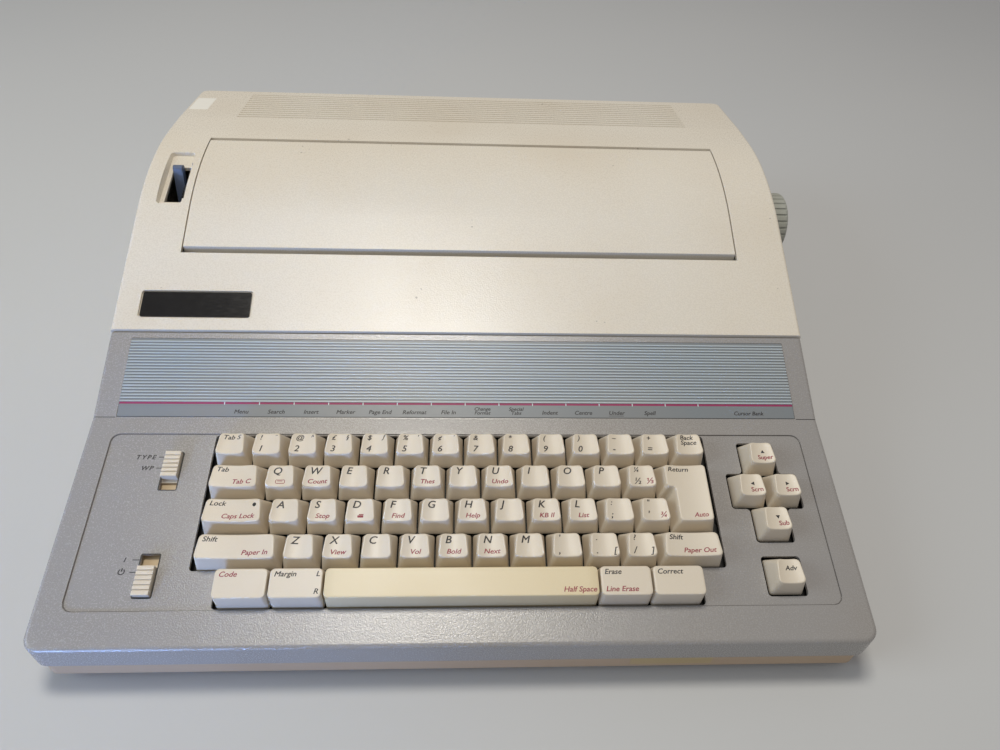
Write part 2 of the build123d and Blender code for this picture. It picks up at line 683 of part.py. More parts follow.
with BuildPart() as keyboard_deck:
    slab(side_face([
        (0, parting_z(0)), (0, DECK_FRONT_Z), CREASE, STRIP_END, (STRIP_END[0], parting_z(STRIP_END[0])),
    ]), -HALF, HALF)
    fillet(keyboard_deck.edges().filter_by(Axis.Z).group_by(Axis.Y)[0], CORNER)
    high = keyboard_deck.edges().filter_by(lambda e: e.center().Z > parting_z(e.center().Y) + WALL)
    crest = high.filter_by(lambda e: e.center().Z > DECK_FRONT_Z - SEAT)
    crest = crest.filter_by(lambda e: e.center().Y < STRIP_END[0] - SEAT)
    fillet(crest.filter_by(lambda e: abs(e.center().X) > HALF - CORNER or e.center().Y < SEAT), DECK_EDGE)
    add(deck_hollow.part, mode=Mode.SUBTRACT)
    with BuildSketch(STRIP.offset(-FLANGE_GAP - WALL)):
        with Locations((0, STRIP_LENGTH)):
            Rectangle(2 * (INNER - SEAT), 2 * FLANGE_REACH)
    extrude(amount=-WALL)
    with BuildSketch(STRIP.offset(-FLANGE_GAP - 2 * WALL)):
        with Locations((0, STRIP_LENGTH - FLANGE_REACH / 2 - WALL)):
            Rectangle(2 * INNER, FLANGE_REACH)
    extrude(amount=FLANGE_GAP + WALL + SEAT)
    with BuildSketch(DECK.offset(-PANEL_DROP)):
        with Locations((0, (PANEL_FRONT_S + PANEL_BACK_S) / 2)):
            RectangleRounded(2 * PANEL_HALF, PANEL_BACK_S - PANEL_FRONT_S, PANEL_CORNER)
    extrude(amount=WALL, mode=Mode.SUBTRACT)
    with BuildSketch(STRIP.offset(-STRIP_POCKET)):
        with Locations((0, STRIP_START + STRIP_HEIGHT / 2)):
            Rectangle(2 * (STRIP_HALF + SEAT), STRIP_HEIGHT + 2 * SEAT)
    extrude(amount=WALL, mode=Mode.SUBTRACT)
    with BuildSketch(DECK.offset(-2 * WALL)) as deck_wells:
        with BuildLine():
            Polyline(*MAIN_WELL, close=True)
        make_face()
        for cells in SMALL_WELLS:
            x0, x1 = min(c[0] for c in cells), max(c[1] for c in cells)
            s0, s1 = min(c[2] for c in cells), max(c[3] for c in cells)
            with Locations(((x0 + x1) / 2, (s0 + s1) / 2)):
                Rectangle(x1 - x0 + 2 * CURSOR_WELL, s1 - s0 + 2 * CURSOR_WELL)
        fillet(deck_wells.vertices(), WELL_CORNER)
        with Locations((SWITCH_X, MODE_S), (SWITCH_X, POWER_S)):
            Rectangle(SWITCH_WIDTH, SWITCH_SLOT)
    extrude(amount=4 * WALL, mode=Mode.SUBTRACT)
    deck_bosses(0, parting_z(SCREW_YS[0]) + SCREW_GRIP + SEAT, SCREW_R + FIT, mode=Mode.SUBTRACT)
put(keyboard_deck.part, "keyboard_deck")

with BuildPart() as function_strip:
    with BuildSketch(STRIP.offset(-STRIP_POCKET)):
        with Locations((0, STRIP_START + STRIP_HEIGHT / 2)):
            Rectangle(2 * STRIP_HALF, STRIP_HEIGHT)
    extrude(amount=STRIP_THICK)
    with BuildSketch(STRIP.offset(STRIP_THICK - STRIP_POCKET)):
        for i in range(STRIP_RIDGES):
            with Locations((0, RIDGE_START + i * RIDGE_PITCH)):
                Rectangle(2 * STRIP_HALF, RIDGE_WIDTH)
    extrude(amount=RIDGE_HEIGHT)
put(function_strip.part, "function_strip")

# ---------------------------------------------------------------- key plate and keyboard board
PLATE_LENGTH = PLATE_TO_S - PLATE_FROM_S
PLATE_MIDDLE = (PLATE_TO_S + PLATE_FROM_S) / 2
POSTS = [(x, s) for x in POST_XS for s in POST_SS]
BOARD_TOP = -PLATE_DROP - PLATE_THICK - BOARD_GAP
with BuildPart() as key_plate:
    with BuildSketch(DECK.offset(-PLATE_DROP - PLATE_THICK)):
        with Locations((0, PLATE_MIDDLE)):
            Rectangle(2 * PLATE_HALF, PLATE_LENGTH)
    extrude(amount=PLATE_THICK)
    with BuildSketch(DECK.offset(-PLATE_DROP)):
        with Locations(*ALL_STEMS):
            Rectangle(STEM + 2 * (SLIDE + GUIDE_WALL), STEM + 2 * (SLIDE + GUIDE_WALL))
    extrude(amount=GUIDE_HEIGHT)
    with BuildSketch(DECK.offset(-PLATE_DROP - PLATE_THICK - WALL)):
        with Locations(*ALL_STEMS):
            Rectangle(STEM + 2 * SLIDE, STEM + 2 * SLIDE)
    extrude(amount=GUIDE_HEIGHT + PLATE_THICK + 2 * WALL, mode=Mode.SUBTRACT)
    with BuildSketch(DECK.offset(BOARD_TOP)):
        with Locations(*POSTS):
            Circle(POST_R)
    extrude(amount=-BOARD_TOP - WALL)
put(key_plate.part, "key_plate")

with BuildPart() as keyboard_board:
    with BuildSketch(DECK.offset(BOARD_TOP)):
        with Locations((0, PLATE_MIDDLE)):
            Rectangle(2 * (PLATE_HALF - BOARD_IN), PLATE_LENGTH - 2 * BOARD_IN)
    extrude(amount=-BOARD_THICK)
put(keyboard_board.part, "keyboard_board")

# ---------------------------------------------------------------- slide switches
HOUSING_TOP = -WALL - SEAT - SLIDER_FOOT - SEAT
with BuildPart() as switch_housings:
    with BuildSketch(DECK.offset(-PLATE_DROP)):
        with Locations((SWITCH_X, MODE_S), (SWITCH_X, POWER_S)):
            Rectangle(HOUSING_WIDTH, HOUSING_LENGTH)
    extrude(amount=PLATE_DROP + HOUSING_TOP)
put(switch_housings.part, "switch_housings")


def slider(s):
    """Knob of a slide switch whose middle is at s, up the deck."""
    with BuildPart() as knob:
        with BuildSketch(DECK.offset(-WALL - SEAT)):
            with Locations((SWITCH_X, s)):
                Rectangle(SWITCH_WIDTH - 2 * SLIDER_GAP, SLIDER_LENGTH)
        extrude(amount=WALL + SEAT + SLIDER_PROUD)
        with BuildSketch(DECK.offset(SLIDER_PROUD)):
            with Locations((SWITCH_X, s)):
                with GridLocations(0, SLIDER_LENGTH / (SLIDER_RIBS + 1), 1, SLIDER_RIBS):
                    Rectangle(SWITCH_WIDTH, SLIDER_RIB)
        extrude(amount=-SLIDER_RIB, mode=Mode.SUBTRACT)
        with BuildSketch(DECK.offset(-WALL - SEAT)):
            with Locations((SWITCH_X, s)):
                Rectangle(SWITCH_WIDTH + 2 * SLIDER_FOOT_OUT, SLIDER_LENGTH + 2 * SLIDER_FOOT_OUT)
        extrude(amount=-SLIDER_FOOT)
    return knob.part


put(slider(MODE_S + SWITCH_TRAVEL / 2), "mode_slider")
put(slider(POWER_S - SWITCH_TRAVEL / 2), "power_slider")


# ---------------------------------------------------------------- upper case
OPENING_HALF = LID_HALF + LID_GAP
OPENING_FRONT = LID_FRONT_Y - GRIP
OPENING_REAR = LID_REAR_Y + LID_GAP
LEDGE_TOP = LID_THICK + SEAT
LEDGE_FROM = LID_FRONT_Y + GRIP_UNDER - WALL
LEDGE_TO = HINGE_Y - 2 * HINGE_BOSS_R
EAR_OUT = LID_HALF - HINGE_EAR_IN
BOSS_IN = OPENING_HALF + LID_GAP
RECESS_MIDDLE = (RECESS_FRONT_Y + RECESS_REAR_Y) / 2
RECESS_TILT = atan2(top_z(RECESS_REAR_Y) - top_z(RECESS_FRONT_Y), RECESS_REAR_Y - RECESS_FRONT_Y)
RECESS = Plane(
    origin=(RECESS_X, RECESS_MIDDLE, top_z(RECESS_MIDDLE)), x_dir=(1, 0, 0),
    z_dir=(0, -sin(RECESS_TILT), cos(RECESS_TILT)),
)
RECESS_LENGTH = (RECESS_REAR_Y - RECESS_FRONT_Y) / cos(RECESS_TILT)
CASE_TOP = top_z(ARC_CENTRE[0])

with BuildPart() as case_hollow:
    slab(skin_face(WALL, CASE_FRONT_Y - WALL, DEPTH - WALL, 0), -INNER, INNER)
    case_bosses(PARTING_Z + SEAT, CASE_TOP, BOSS_R, mode=Mode.SUBTRACT)

RECESS_LEFT = RECESS_X - RECESS_WIDTH / 2
RECESS_RIGHT = RECESS_X + RECESS_WIDTH / 2
with BuildPart() as lever_pad:
    slab(
        skin_band(WALL - SEAT, RECESS_PAD, RECESS_FRONT_Y - RECESS_RIM, RECESS_REAR_Y + RECESS_RIM),
        RECESS_LEFT - RECESS_RIM, min(RECESS_RIGHT + RECESS_RIM, -FRAME_X - FRAME_THICK / 2 - SEAT),
    )

with BuildPart() as recess_cut:
    for height, inside in ((RECESS_DEPTH, 0), (-RECESS_DEPTH, RECESS_IN)):
        with BuildSketch(RECESS.offset(height)):
            RectangleRounded(RECESS_WIDTH - 2 * inside, RECESS_LENGTH - 2 * inside, RECESS_IN)
    loft(ruled=True)

with BuildPart() as upper_case:
    slab(skin_face(0, CASE_FRONT_Y, DEPTH, PARTING_Z + SEAT), -HALF, HALF)
    fillet(upper_case.edges().filter_by(Axis.Z).group_by(Axis.Y)[-1], REAR_EDGE)
    sloped = upper_case.edges().filter_by(Axis.Z, reverse=True)
    crest = sloped.filter_by(lambda e: e.center().Z > CASE_FRONT_Z)
    outer = crest.filter_by(lambda e: abs(e.center().X) > HALF - REAR_EDGE or e.center().Y > DEPTH - SEAT)
    fillet(outer, CASE_EDGE)
    add(case_hollow.part, mode=Mode.SUBTRACT)
    block(
        -OPENING_HALF, OPENING_HALF, OPENING_FRONT, OPENING_REAR, PLATEN_Z, 2 * PLATEN_Z, mode=Mode.SUBTRACT,
    )
    add(lever_pad.part)
    add(recess_cut.part, mode=Mode.SUBTRACT)
    block(
        SLOT_X - SLOT_WIDTH / 2, SLOT_X + SLOT_WIDTH / 2, SLOT_FRONT_Y, SLOT_REAR_Y, PLATEN_Z, 2 * PLATEN_Z,
        mode=Mode.SUBTRACT,
    )
    for side in (-1, 1):
        root = skin_band(WALL - SEAT, LEDGE_TOP + SHELF, LEDGE_FROM, LEDGE_TO)
        slab(root, *sorted((side * (OPENING_HALF + LEDGE), side * OPENING_HALF)))
        ledge = skin_band(LEDGE_TOP, LEDGE_TOP + SHELF, LEDGE_FROM, LEDGE_TO)
        slab(ledge, *sorted((side * (OPENING_HALF + SEAT), side * (OPENING_HALF - LEDGE))))
        boss = skin_face(WALL - SEAT, HINGE_Y - HINGE_BOSS_R, HINGE_Y + HINGE_BOSS_R, HINGE_Z - HINGE_BOSS_R)
        slab(boss, *sorted((side * BOSS_IN, side * (BOSS_IN + HINGE_BOSS))))
    grip_back = OPENING_FRONT - SHELF
    grip_half = OPENING_HALF - SEAT
    grip_wall = skin_band(WALL - SEAT, GRIP_FLOOR + SHELF, grip_back, OPENING_FRONT)
    slab(grip_wall, -grip_half, grip_half)
    grip_floor = skin_band(GRIP_FLOOR, GRIP_FLOOR + SHELF, grip_back, LID_FRONT_Y + GRIP_UNDER)
    slab(grip_floor, -grip_half, grip_half)
    rod_x(HINGE_Y, HINGE_Z, HINGE_PIN_R + FIT, -INNER, INNER, mode=Mode.SUBTRACT)
    with BuildSketch(FACE.offset(-BADGE_POCKET)):
        with Locations((BADGE_X, BADGE_RISE)):
            RectangleRounded(BADGE_WIDTH, BADGE_HEIGHT, BADGE_CORNER)
    extrude(amount=WALL, mode=Mode.SUBTRACT)
    with BuildSketch(REAR.offset(-RIB_DEPTH)):
        for i in range(RIB_COUNT):
            with Locations((0, RIB_START + i * RIB_PITCH)):
                Rectangle(2 * RIB_HALF, RIB_GROOVE)
    extrude(amount=WALL, mode=Mode.SUBTRACT)
    rod_x(PLATEN_Y, PLATEN_Z, SHAFT_HOLE_R, INNER - WALL, HALF + WALL, mode=Mode.SUBTRACT)
    case_bosses(0, PARTING_Z + SCREW_GRIP + SEAT, SCREW_R + FIT, mode=Mode.SUBTRACT)
put(upper_case.part, "upper_case")

with BuildPart() as badge_plate:
    with BuildSketch(FACE.offset(-BADGE_POCKET)):
        with Locations((BADGE_X, BADGE_RISE)):
            RectangleRounded(
                BADGE_WIDTH - 2 * BADGE_GAP, BADGE_HEIGHT - 2 * BADGE_GAP, BADGE_CORNER - BADGE_GAP,
            )
    extrude(amount=BADGE_THICK)
put(badge_plate.part, "badge_plate")

# ---------------------------------------------------------------- lid
with BuildPart() as lid:
    slab(skin_band(0, LID_THICK, LID_FRONT_Y, HINGE_Y), -LID_HALF, LID_HALF)
    slab(skin_band(0, LID_LIP, LID_FRONT_Y, LID_FRONT_Y + LID_THICK), -LID_HALF, LID_HALF)
    rod_x(HINGE_Y, HINGE_Z, HINGE_R, -LID_HALF, LID_HALF)
    rear_y = HINGE_Y + HINGE_R
    under = HINGE_Z + HINGE_R - LID_THICK
    block(-LID_HALF, LID_HALF, HINGE_Y - HINGE_R, rear_y, HINGE_Z - HINGE_R, under, mode=Mode.SUBTRACT)
    for side in (-1, 1):
        rod_x(HINGE_Y, HINGE_Z, HINGE_EAR_R, *sorted((side * (EAR_OUT - HINGE_EAR), side * EAR_OUT)))
    rod_x(HINGE_Y, HINGE_Z, HINGE_PIN_R + FIT, -LID_HALF, LID_HALF, mode=Mode.SUBTRACT)
put(lid.part, "lid")

with BuildPart() as lid_hinge_pins:
    for side in (-1, 1):
        ends = sorted((side * (EAR_OUT - HINGE_EAR), side * (BOSS_IN + HINGE_BOSS)))
        rod_x(HINGE_Y, HINGE_Z, HINGE_PIN_R, *ends)
put(lid_hinge_pins.part, "lid_hinge_pins")

# ---------------------------------------------------------------- base tray, feet and screws
with BuildPart() as base_tray:
    slab(side_face([
        (BASE_IN, FOOT_HEIGHT), (BASE_IN, parting_z(BASE_IN)), (CASE_FRONT_Y, PARTING_Z),
        (DEPTH - BASE_IN, PARTING_Z), (DEPTH - BASE_IN, FOOT_HEIGHT),
    ]), -BASE_HALF, BASE_HALF)
    fillet(base_tray.edges().filter_by(Axis.Z).group_by(Axis.Y)[0], CORNER - BASE_IN)
    fillet(base_tray.edges().filter_by(Axis.Z).group_by(Axis.Y)[-1], REAR_EDGE - BASE_IN)
    chamfer(base_tray.faces().sort_by(Axis.Z)[0].edges(), BASE_EDGE)
    block(
        -BASE_HALF + WALL, BASE_HALF - WALL, BASE_IN + WALL, DEPTH - BASE_IN - WALL, FLOOR, 2 * PARTING_Z,
        mode=Mode.SUBTRACT,
    )
    deck_bosses(FOOT_HEIGHT, parting_z(SCREW_YS[0]), BOSS_R)
    case_bosses(FOOT_HEIGHT, PARTING_Z, BOSS_R)
    for bosses in (deck_bosses, case_bosses):
        bosses(0, 2 * PARTING_Z, SCREW_R + SEAT, mode=Mode.SUBTRACT)
        bosses(0, FOOT_HEIGHT + SCREW_SINK, SCREW_HEAD_R + SEAT, mode=Mode.SUBTRACT)
    for x, z, width, height in (
        (INLET_X, CONNECTOR_Z, INLET_WIDTH, INLET_HEIGHT), (PORT_X, CONNECTOR_Z, PORT_WIDTH, PORT_HEIGHT),
    ):
        block(
            x - width / 2 - FIT, x + width / 2 + FIT, DEPTH - 2 * WALL - BASE_IN, DEPTH, z - height / 2 - FIT,
            z + height / 2 + FIT, mode=Mode.SUBTRACT,
        )
put(base_tray.part, "base_tray")

with BuildPart() as rubber_feet:
    with BuildSketch(Plane.XY):
        with Locations(*((x, y) for x in (-FOOT_X, FOOT_X) for y in FOOT_YS)):
            Circle(FOOT_R)
    extrude(amount=FOOT_HEIGHT)
    chamfer(rubber_feet.edges().group_by(Axis.Z)[0], 1.0)
put(rubber_feet.part, "rubber_feet")

HEAD_Z = FOOT_HEIGHT + SCREW_SINK - SCREW_HEAD
with BuildPart() as case_screws:
    for bosses, parting in ((deck_bosses, parting_z(SCREW_YS[0])), (case_bosses, PARTING_Z)):
        bosses(HEAD_Z, HEAD_Z + SCREW_HEAD, SCREW_HEAD_R)
        bosses(HEAD_Z, parting + SCREW_GRIP, SCREW_R)
put(case_screws.part, "case_screws")

# ---------------------------------------------------------------- side frames, rod and rail
FEED_AT = about(FEED_ANGLE, PLATEN_R + FEED_ROLLER_R + SEAT)
BAIL_AT = about(BAIL_ANGLE, PLATEN_R + BAIL_ROLLER_R + SEAT)
BAIL_PIVOT = (BAIL_AT[0], BAIL_PIVOT_Z)
MESH_DISTANCE = GEAR_MODULE * (PLATEN_TEETH + PINION_TEETH) / 2
PINION_AT = about(MESH_ANGLE, MESH_DISTANCE)
FRAME_IN = FRAME_X - FRAME_THICK / 2
FRAME_OUT = FRAME_X + FRAME_THICK / 2
SHELF_IN = FRAME_IN - SHELF_REACH
SHELF_TOP = SHELF_Z + SHELF_THICK

with BuildPart() as side_frames:
    for side in (-1, 1):
        x0, x1 = sorted((side * FRAME_IN, side * FRAME_OUT))
        slab(skin_face(WALL + FRAME_MARGIN, FRAME_FRONT_Y, FRAME_STEP_Y, FLOOR), x0, x1)
        block(x0, x1, FRAME_STEP_Y, FRAME_BACK_Y, FLOOR, FRAME_BACK_Z)
        foot0, foot1 = sorted((side * (FRAME_IN - FRAME_FOOT), side * FRAME_OUT))
        block(foot0, foot1, FRAME_FRONT_Y, FRAME_BACK_Y, FLOOR, FLOOR + FRAME_THICK)
        shelf0, shelf1 = sorted((side * SHELF_IN, side * FRAME_OUT))
        block(shelf0, shelf1, FRAME_FRONT_Y, CARRIAGE_FRONT_Y - LID_GAP, SHELF_Z, SHELF_TOP)
        pin0, pin1 = sorted((side * (BAIL_ARM_X - BAIL_ARM), side * FRAME_OUT))
        rod_x(*BAIL_PIVOT, BAIL_PIN_R, pin0, pin1)
    rod_x(LEVER_PIVOT_Y, LEVER_PIVOT_Z, LEVER_PIN_R, LEVER_X - LEVER_WIDTH / 2 - SEAT, -FRAME_IN)
    rod_z(-PULLEY_X, PULLEY_Y, MOTOR_SHAFT_R, SHELF_Z, SHELF_TOP + PULLEY_LIFT + PULLEY_HEIGHT)
    rod_z(PULLEY_X, PULLEY_Y, MOTOR_SHAFT_R + FIT, 0, PLATEN_Z, mode=Mode.SUBTRACT)
    rod_x(PLATEN_Y, PLATEN_Z, BUSH_R + FIT, -HALF, HALF, mode=Mode.SUBTRACT)
    rod_x(ROD_Y, ROD_Z, ROD_R + FIT, -HALF, HALF, mode=Mode.SUBTRACT)
    rod_x(*FEED_AT, FEED_SHAFT_R + FIT, -HALF, HALF, mode=Mode.SUBTRACT)
    rod_x(*PINION_AT, MOTOR_SHAFT_R + SEAT, -HALF, 0, mode=Mode.SUBTRACT)
put(side_frames.part, "side_frames")

with BuildPart() as platen_bushes:
    for side in (-1, 1):
        x0, x1 = sorted((side * (FRAME_X - BUSH_WIDTH / 2), side * (FRAME_X + BUSH_WIDTH / 2)))
        rod_x(PLATEN_Y, PLATEN_Z, BUSH_R, x0, x1)
    rod_x(PLATEN_Y, PLATEN_Z, SHAFT_R + FIT, -HALF, HALF, mode=Mode.SUBTRACT)
put(platen_bushes.part, "platen_bushes")

with BuildPart() as guide_rod:
    rod_x(ROD_Y, ROD_Z, ROD_R, -FRAME_OUT - ROD_OUT, FRAME_OUT + ROD_OUT)
put(guide_rod.part, "guide_rod")

with BuildPart() as rear_rail:
    block(
        -FRAME_IN, FRAME_IN, RAIL_Y - RAIL_DEPTH / 2, RAIL_Y + RAIL_DEPTH / 2, RAIL_Z - RAIL_THICK / 2,
        RAIL_Z + RAIL_THICK / 2,
    )
put(rear_rail.part, "rear_rail")

# ---------------------------------------------------------------- platen, knob and gears
SHAFT_LEFT = -FRAME_OUT - GEAR_GAP - GEAR_WIDTH
KNOB_IN = HALF + KNOB_GAP
KNOB_OUT = HALF + KNOB_PROUD


def gear_face(teeth, turn=0.0):
    """Outline of a spur gear with involute flanks, as a side-view face about the origin."""
    pitch_r = GEAR_MODULE * teeth / 2
    base_r = pitch_r * cos(radians(PRESSURE_ANGLE))
    tip_r = pitch_r + GEAR_MODULE
    root_r = pitch_r - 1.25 * GEAR_MODULE
    half_tooth = pi / (2 * teeth) - BACKLASH / (2 * pitch_r)
    start_r = max(base_r, root_r)

    def unwound(radius):
        """Angle by which the involute has run on at a radius."""
        ratio = sqrt(max((radius / base_r) ** 2 - 1, 0))
        return ratio - atan2(ratio, 1)

    edge = half_tooth + unwound(pitch_r)
    flank = [(start_r + (tip_r - start_r) * i / 4) for i in range(5)]
    points = []
    for tooth in range(teeth):
        centre = 2 * pi * tooth / teeth + radians(turn)
        rise = [(r, centre - edge + unwound(r)) for r in flank]
        fall = [(r, centre + edge - unwound(r)) for r in reversed(flank)]
        foot = [(root_r, centre - edge)] if root_r < start_r else []
        heel = [(root_r, centre + edge)] if root_r < start_r else []
        points += foot + rise + fall + heel
    return side_face([(r * cos(a), r * sin(a)) for r, a in points])


with BuildPart() as platen_roller:
    rod_x(PLATEN_Y, PLATEN_Z, PLATEN_R, -PLATEN_HALF, PLATEN_HALF)
    rod_x(PLATEN_Y, PLATEN_Z, SHAFT_R + FIT, -HALF, HALF, mode=Mode.SUBTRACT)
put(platen_roller.part, "platen_roller")

with BuildPart() as platen_shaft:
    rod_x(PLATEN_Y, PLATEN_Z, SHAFT_R, SHAFT_LEFT, KNOB_OUT - KNOB_CAP)
put(platen_shaft.part, "platen_shaft")

with BuildPart() as platen_knob:
    rod_x(PLATEN_Y, PLATEN_Z, KNOB_R, KNOB_IN, KNOB_OUT)
    fillet(platen_knob.edges().group_by(Axis.X)[-1], KNOB_EDGE)
    for i in range(KNOB_RIBS):
        angle = 2 * pi * i / KNOB_RIBS
        groove = (PLATEN_Y + KNOB_R * cos(angle), PLATEN_Z + KNOB_R * sin(angle))
        rod_x(*groove, KNOB_GROOVE_R, KNOB_IN, KNOB_OUT, mode=Mode.SUBTRACT)
    rod_x(PLATEN_Y, PLATEN_Z, SHAFT_R + FIT, 0, KNOB_OUT - KNOB_CAP, mode=Mode.SUBTRACT)
put(platen_knob.part, "platen_knob")

with BuildPart() as platen_gear:
    wheel_face = gear_face(PLATEN_TEETH).moved(Location((0, PLATEN_Y, PLATEN_Z)))
    slab(wheel_face, SHAFT_LEFT, SHAFT_LEFT + GEAR_WIDTH)
    rod_x(PLATEN_Y, PLATEN_Z, SHAFT_R + FIT, -HALF, HALF, mode=Mode.SUBTRACT)
put(platen_gear.part, "platen_gear")

with BuildPart() as feed_pinion:
    pinion_face = gear_face(PINION_TEETH, turn=180 / PINION_TEETH).moved(Location((0, *PINION_AT)))
    slab(pinion_face, SHAFT_LEFT, SHAFT_LEFT + GEAR_WIDTH)
    rod_x(*PINION_AT, MOTOR_SHAFT_R, SHAFT_LEFT, -FRAME_IN + MOTOR_BORE)
put(feed_pinion.part, "feed_pinion")

with BuildPart() as line_feed_motor:
    rod_x(*PINION_AT, MOTOR_R, -FRAME_IN, -FRAME_IN + MOTOR_LENGTH)
    rod_x(*PINION_AT, MOTOR_SHAFT_R + FIT, -FRAME_IN, -FRAME_IN + MOTOR_BORE + SEAT, mode=Mode.SUBTRACT)
put(line_feed_motor.part, "line_feed_motor")

with BuildPart() as feed_rollers:
    for x in FEED_ROLLER_PLACES:
        rod_x(*FEED_AT, FEED_ROLLER_R, x - FEED_ROLLER_WIDTH / 2, x + FEED_ROLLER_WIDTH / 2)
    rod_x(*FEED_AT, FEED_SHAFT_R, -FRAME_OUT, FRAME_OUT)
put(feed_rollers.part, "feed_rollers")

# ---------------------------------------------------------------- paper pan
PAN_R = PLATEN_R + SEAT + FEED_ROLLER_R + FEED_SHAFT_R + PAN_GAP


def arc_band(radius, thick, start, end):
    """Side-view face of a band round the platen, between two angles in degrees."""
    with BuildSketch(Plane.YZ) as face:
        with BuildLine():
            inner = CenterArc((PLATEN_Y, PLATEN_Z), radius, start, end - start)
            outer = CenterArc((PLATEN_Y, PLATEN_Z), radius + thick, start, end - start)
            Line(inner @ 0, outer @ 0)
            Line(inner @ 1, outer @ 1)
        make_face()
    return face.sketch


with BuildPart() as paper_pan:
    slab(arc_band(PAN_R, PAN_THICK, PAN_FROM, 0), -PLATEN_HALF + SEAT, PLATEN_HALF - SEAT)
    block(
        -PLATEN_HALF + SEAT, PLATEN_HALF - SEAT, PLATEN_Y + PAN_R, PLATEN_Y + PAN_R + PAN_THICK, PLATEN_Z,
        PLATEN_Z + PAN_RISE,
    )
    slab(arc_band(PAN_R, PAN_THICK, *PAN_TAB_SPAN), -FRAME_IN, FRAME_IN)
    window = arc_band(PAN_R - PAN_THICK, 3 * PAN_THICK, *PAN_WINDOW_SPAN)
    for x in FEED_ROLLER_PLACES:
        slab(window, x - PAN_WINDOW / 2, x + PAN_WINDOW / 2, mode=Mode.SUBTRACT)
put(paper_pan.part, "paper_pan")

# ---------------------------------------------------------------- paper bail
with BuildPart() as bail_frame:
    for side in (-1, 1):
        x0, x1 = sorted((side * (BAIL_ARM_X - BAIL_ARM / 2), side * (BAIL_ARM_X + BAIL_ARM / 2)))
        arm_y = BAIL_AT[0] - BAIL_ARM_WIDTH / 2
        block(x0, x1, arm_y, arm_y + BAIL_ARM_WIDTH, BAIL_PIVOT[1], BAIL_AT[1])
        rod_x(*BAIL_PIVOT, BAIL_EYE_R, x0, x1)
        rod_x(*BAIL_AT, BAIL_ARM_WIDTH / 2, x0, x1)
    rod_x(*BAIL_AT, BAIL_ROD_R, -BAIL_ARM_X, BAIL_ARM_X)
    rod_x(*BAIL_PIVOT, BAIL_PIN_R + FIT, -HALF, HALF, mode=Mode.SUBTRACT)
put(bail_frame.part, "bail_frame")

with BuildPart() as bail_rollers:
    for x in BAIL_ROLLER_PLACES:
        rod_x(*BAIL_AT, BAIL_ROLLER_R, x - BAIL_ROLLER_WIDTH / 2, x + BAIL_ROLLER_WIDTH / 2)
    rod_x(*BAIL_AT, BAIL_ROD_R + FIT, -HALF, HALF, mode=Mode.SUBTRACT)
put(bail_rollers.part, "bail_rollers")

# ---------------------------------------------------------------- paper release lever
LEVER_TURN = radians(LEVER_LEAN)
LEVER_PLANE = Plane(
    origin=(LEVER_X - LEVER_WIDTH / 2, LEVER_PIVOT_Y, LEVER_PIVOT_Z),
    x_dir=(0, cos(LEVER_TURN), -sin(LEVER_TURN)), z_dir=(1, 0, 0),
)
with BuildPart() as release_lever:
    with BuildSketch(LEVER_PLANE):
        with Locations((0, (LEVER_LENGTH - LEVER_TAIL) / 2)):
            RectangleRounded(LEVER_DEPTH, LEVER_LENGTH + LEVER_TAIL, LEVER_DEPTH / 2 - SEAT)
        Circle(LEVER_EYE_R)
        Circle(LEVER_PIN_R + FIT, mode=Mode.SUBTRACT)
    extrude(amount=LEVER_WIDTH)
put(release_lever.part, "release_lever")

# ---------------------------------------------------------------- carriage
with BuildPart() as carriage_frame:
    for side in (-1, 1):
        x0, x1 = sorted((side * CARRIAGE_HALF, side * (CARRIAGE_HALF - CHEEK)))
        block(x0, x1, CARRIAGE_FRONT_Y, CARRIAGE_BACK_Y, CARRIAGE_BOTTOM_Z, CARRIAGE_TOP_Z)
    block(
        -CARRIAGE_HALF, CARRIAGE_HALF, CARRIAGE_FRONT_Y, CARRIAGE_FRONT_Y + SHEET,
        CARRIAGE_BOTTOM_Z, CARRIAGE_TOP_Z,
    )
    block(
        -CARRIAGE_HALF, CARRIAGE_HALF, CARRIAGE_FRONT_Y, CARRIAGE_BACK_Y,
        CARRIAGE_TOP_Z - DECKING, CARRIAGE_TOP_Z,
    )
    bulkhead_y = CARRIAGE_BACK_Y - WHEEL_MOTOR_LENGTH
    block(
        -CARRIAGE_HALF, CARRIAGE_HALF, bulkhead_y - DECKING, bulkhead_y, CARRIAGE_BOTTOM_Z, CARRIAGE_TOP_Z,
    )
    block(
        -CARRIAGE_HALF, CARRIAGE_HALF, bulkhead_y - DECKING, CARRIAGE_BACK_Y, CARRIAGE_BOTTOM_Z,
        CARRIAGE_BOTTOM_Z + DECKING,
    )
    rail_top = RAIL_Z + RAIL_THICK / 2
    block(
        -SHOE, SHOE, RAIL_Y - RAIL_DEPTH / 2, RAIL_Y + RAIL_DEPTH / 2,
        rail_top + SEAT, CARRIAGE_BOTTOM_Z + DECKING,
    )
    belt_z = SHELF_TOP + PULLEY_LIFT + PULLEY_HEIGHT / 2
    block(
        -CLAMP, CLAMP, PULLEY_Y + PULLEY_R + SEAT + BELT_THICK + SEAT, CARRIAGE_FRONT_Y + SHEET,
        belt_z - BELT_HEIGHT / 2, belt_z + BELT_HEIGHT / 2,
    )
    rod_x(ROD_Y, ROD_Z, ROD_R + FIT, -CARRIAGE_HALF, CARRIAGE_HALF, mode=Mode.SUBTRACT)
put(carriage_frame.part, "carriage_frame")

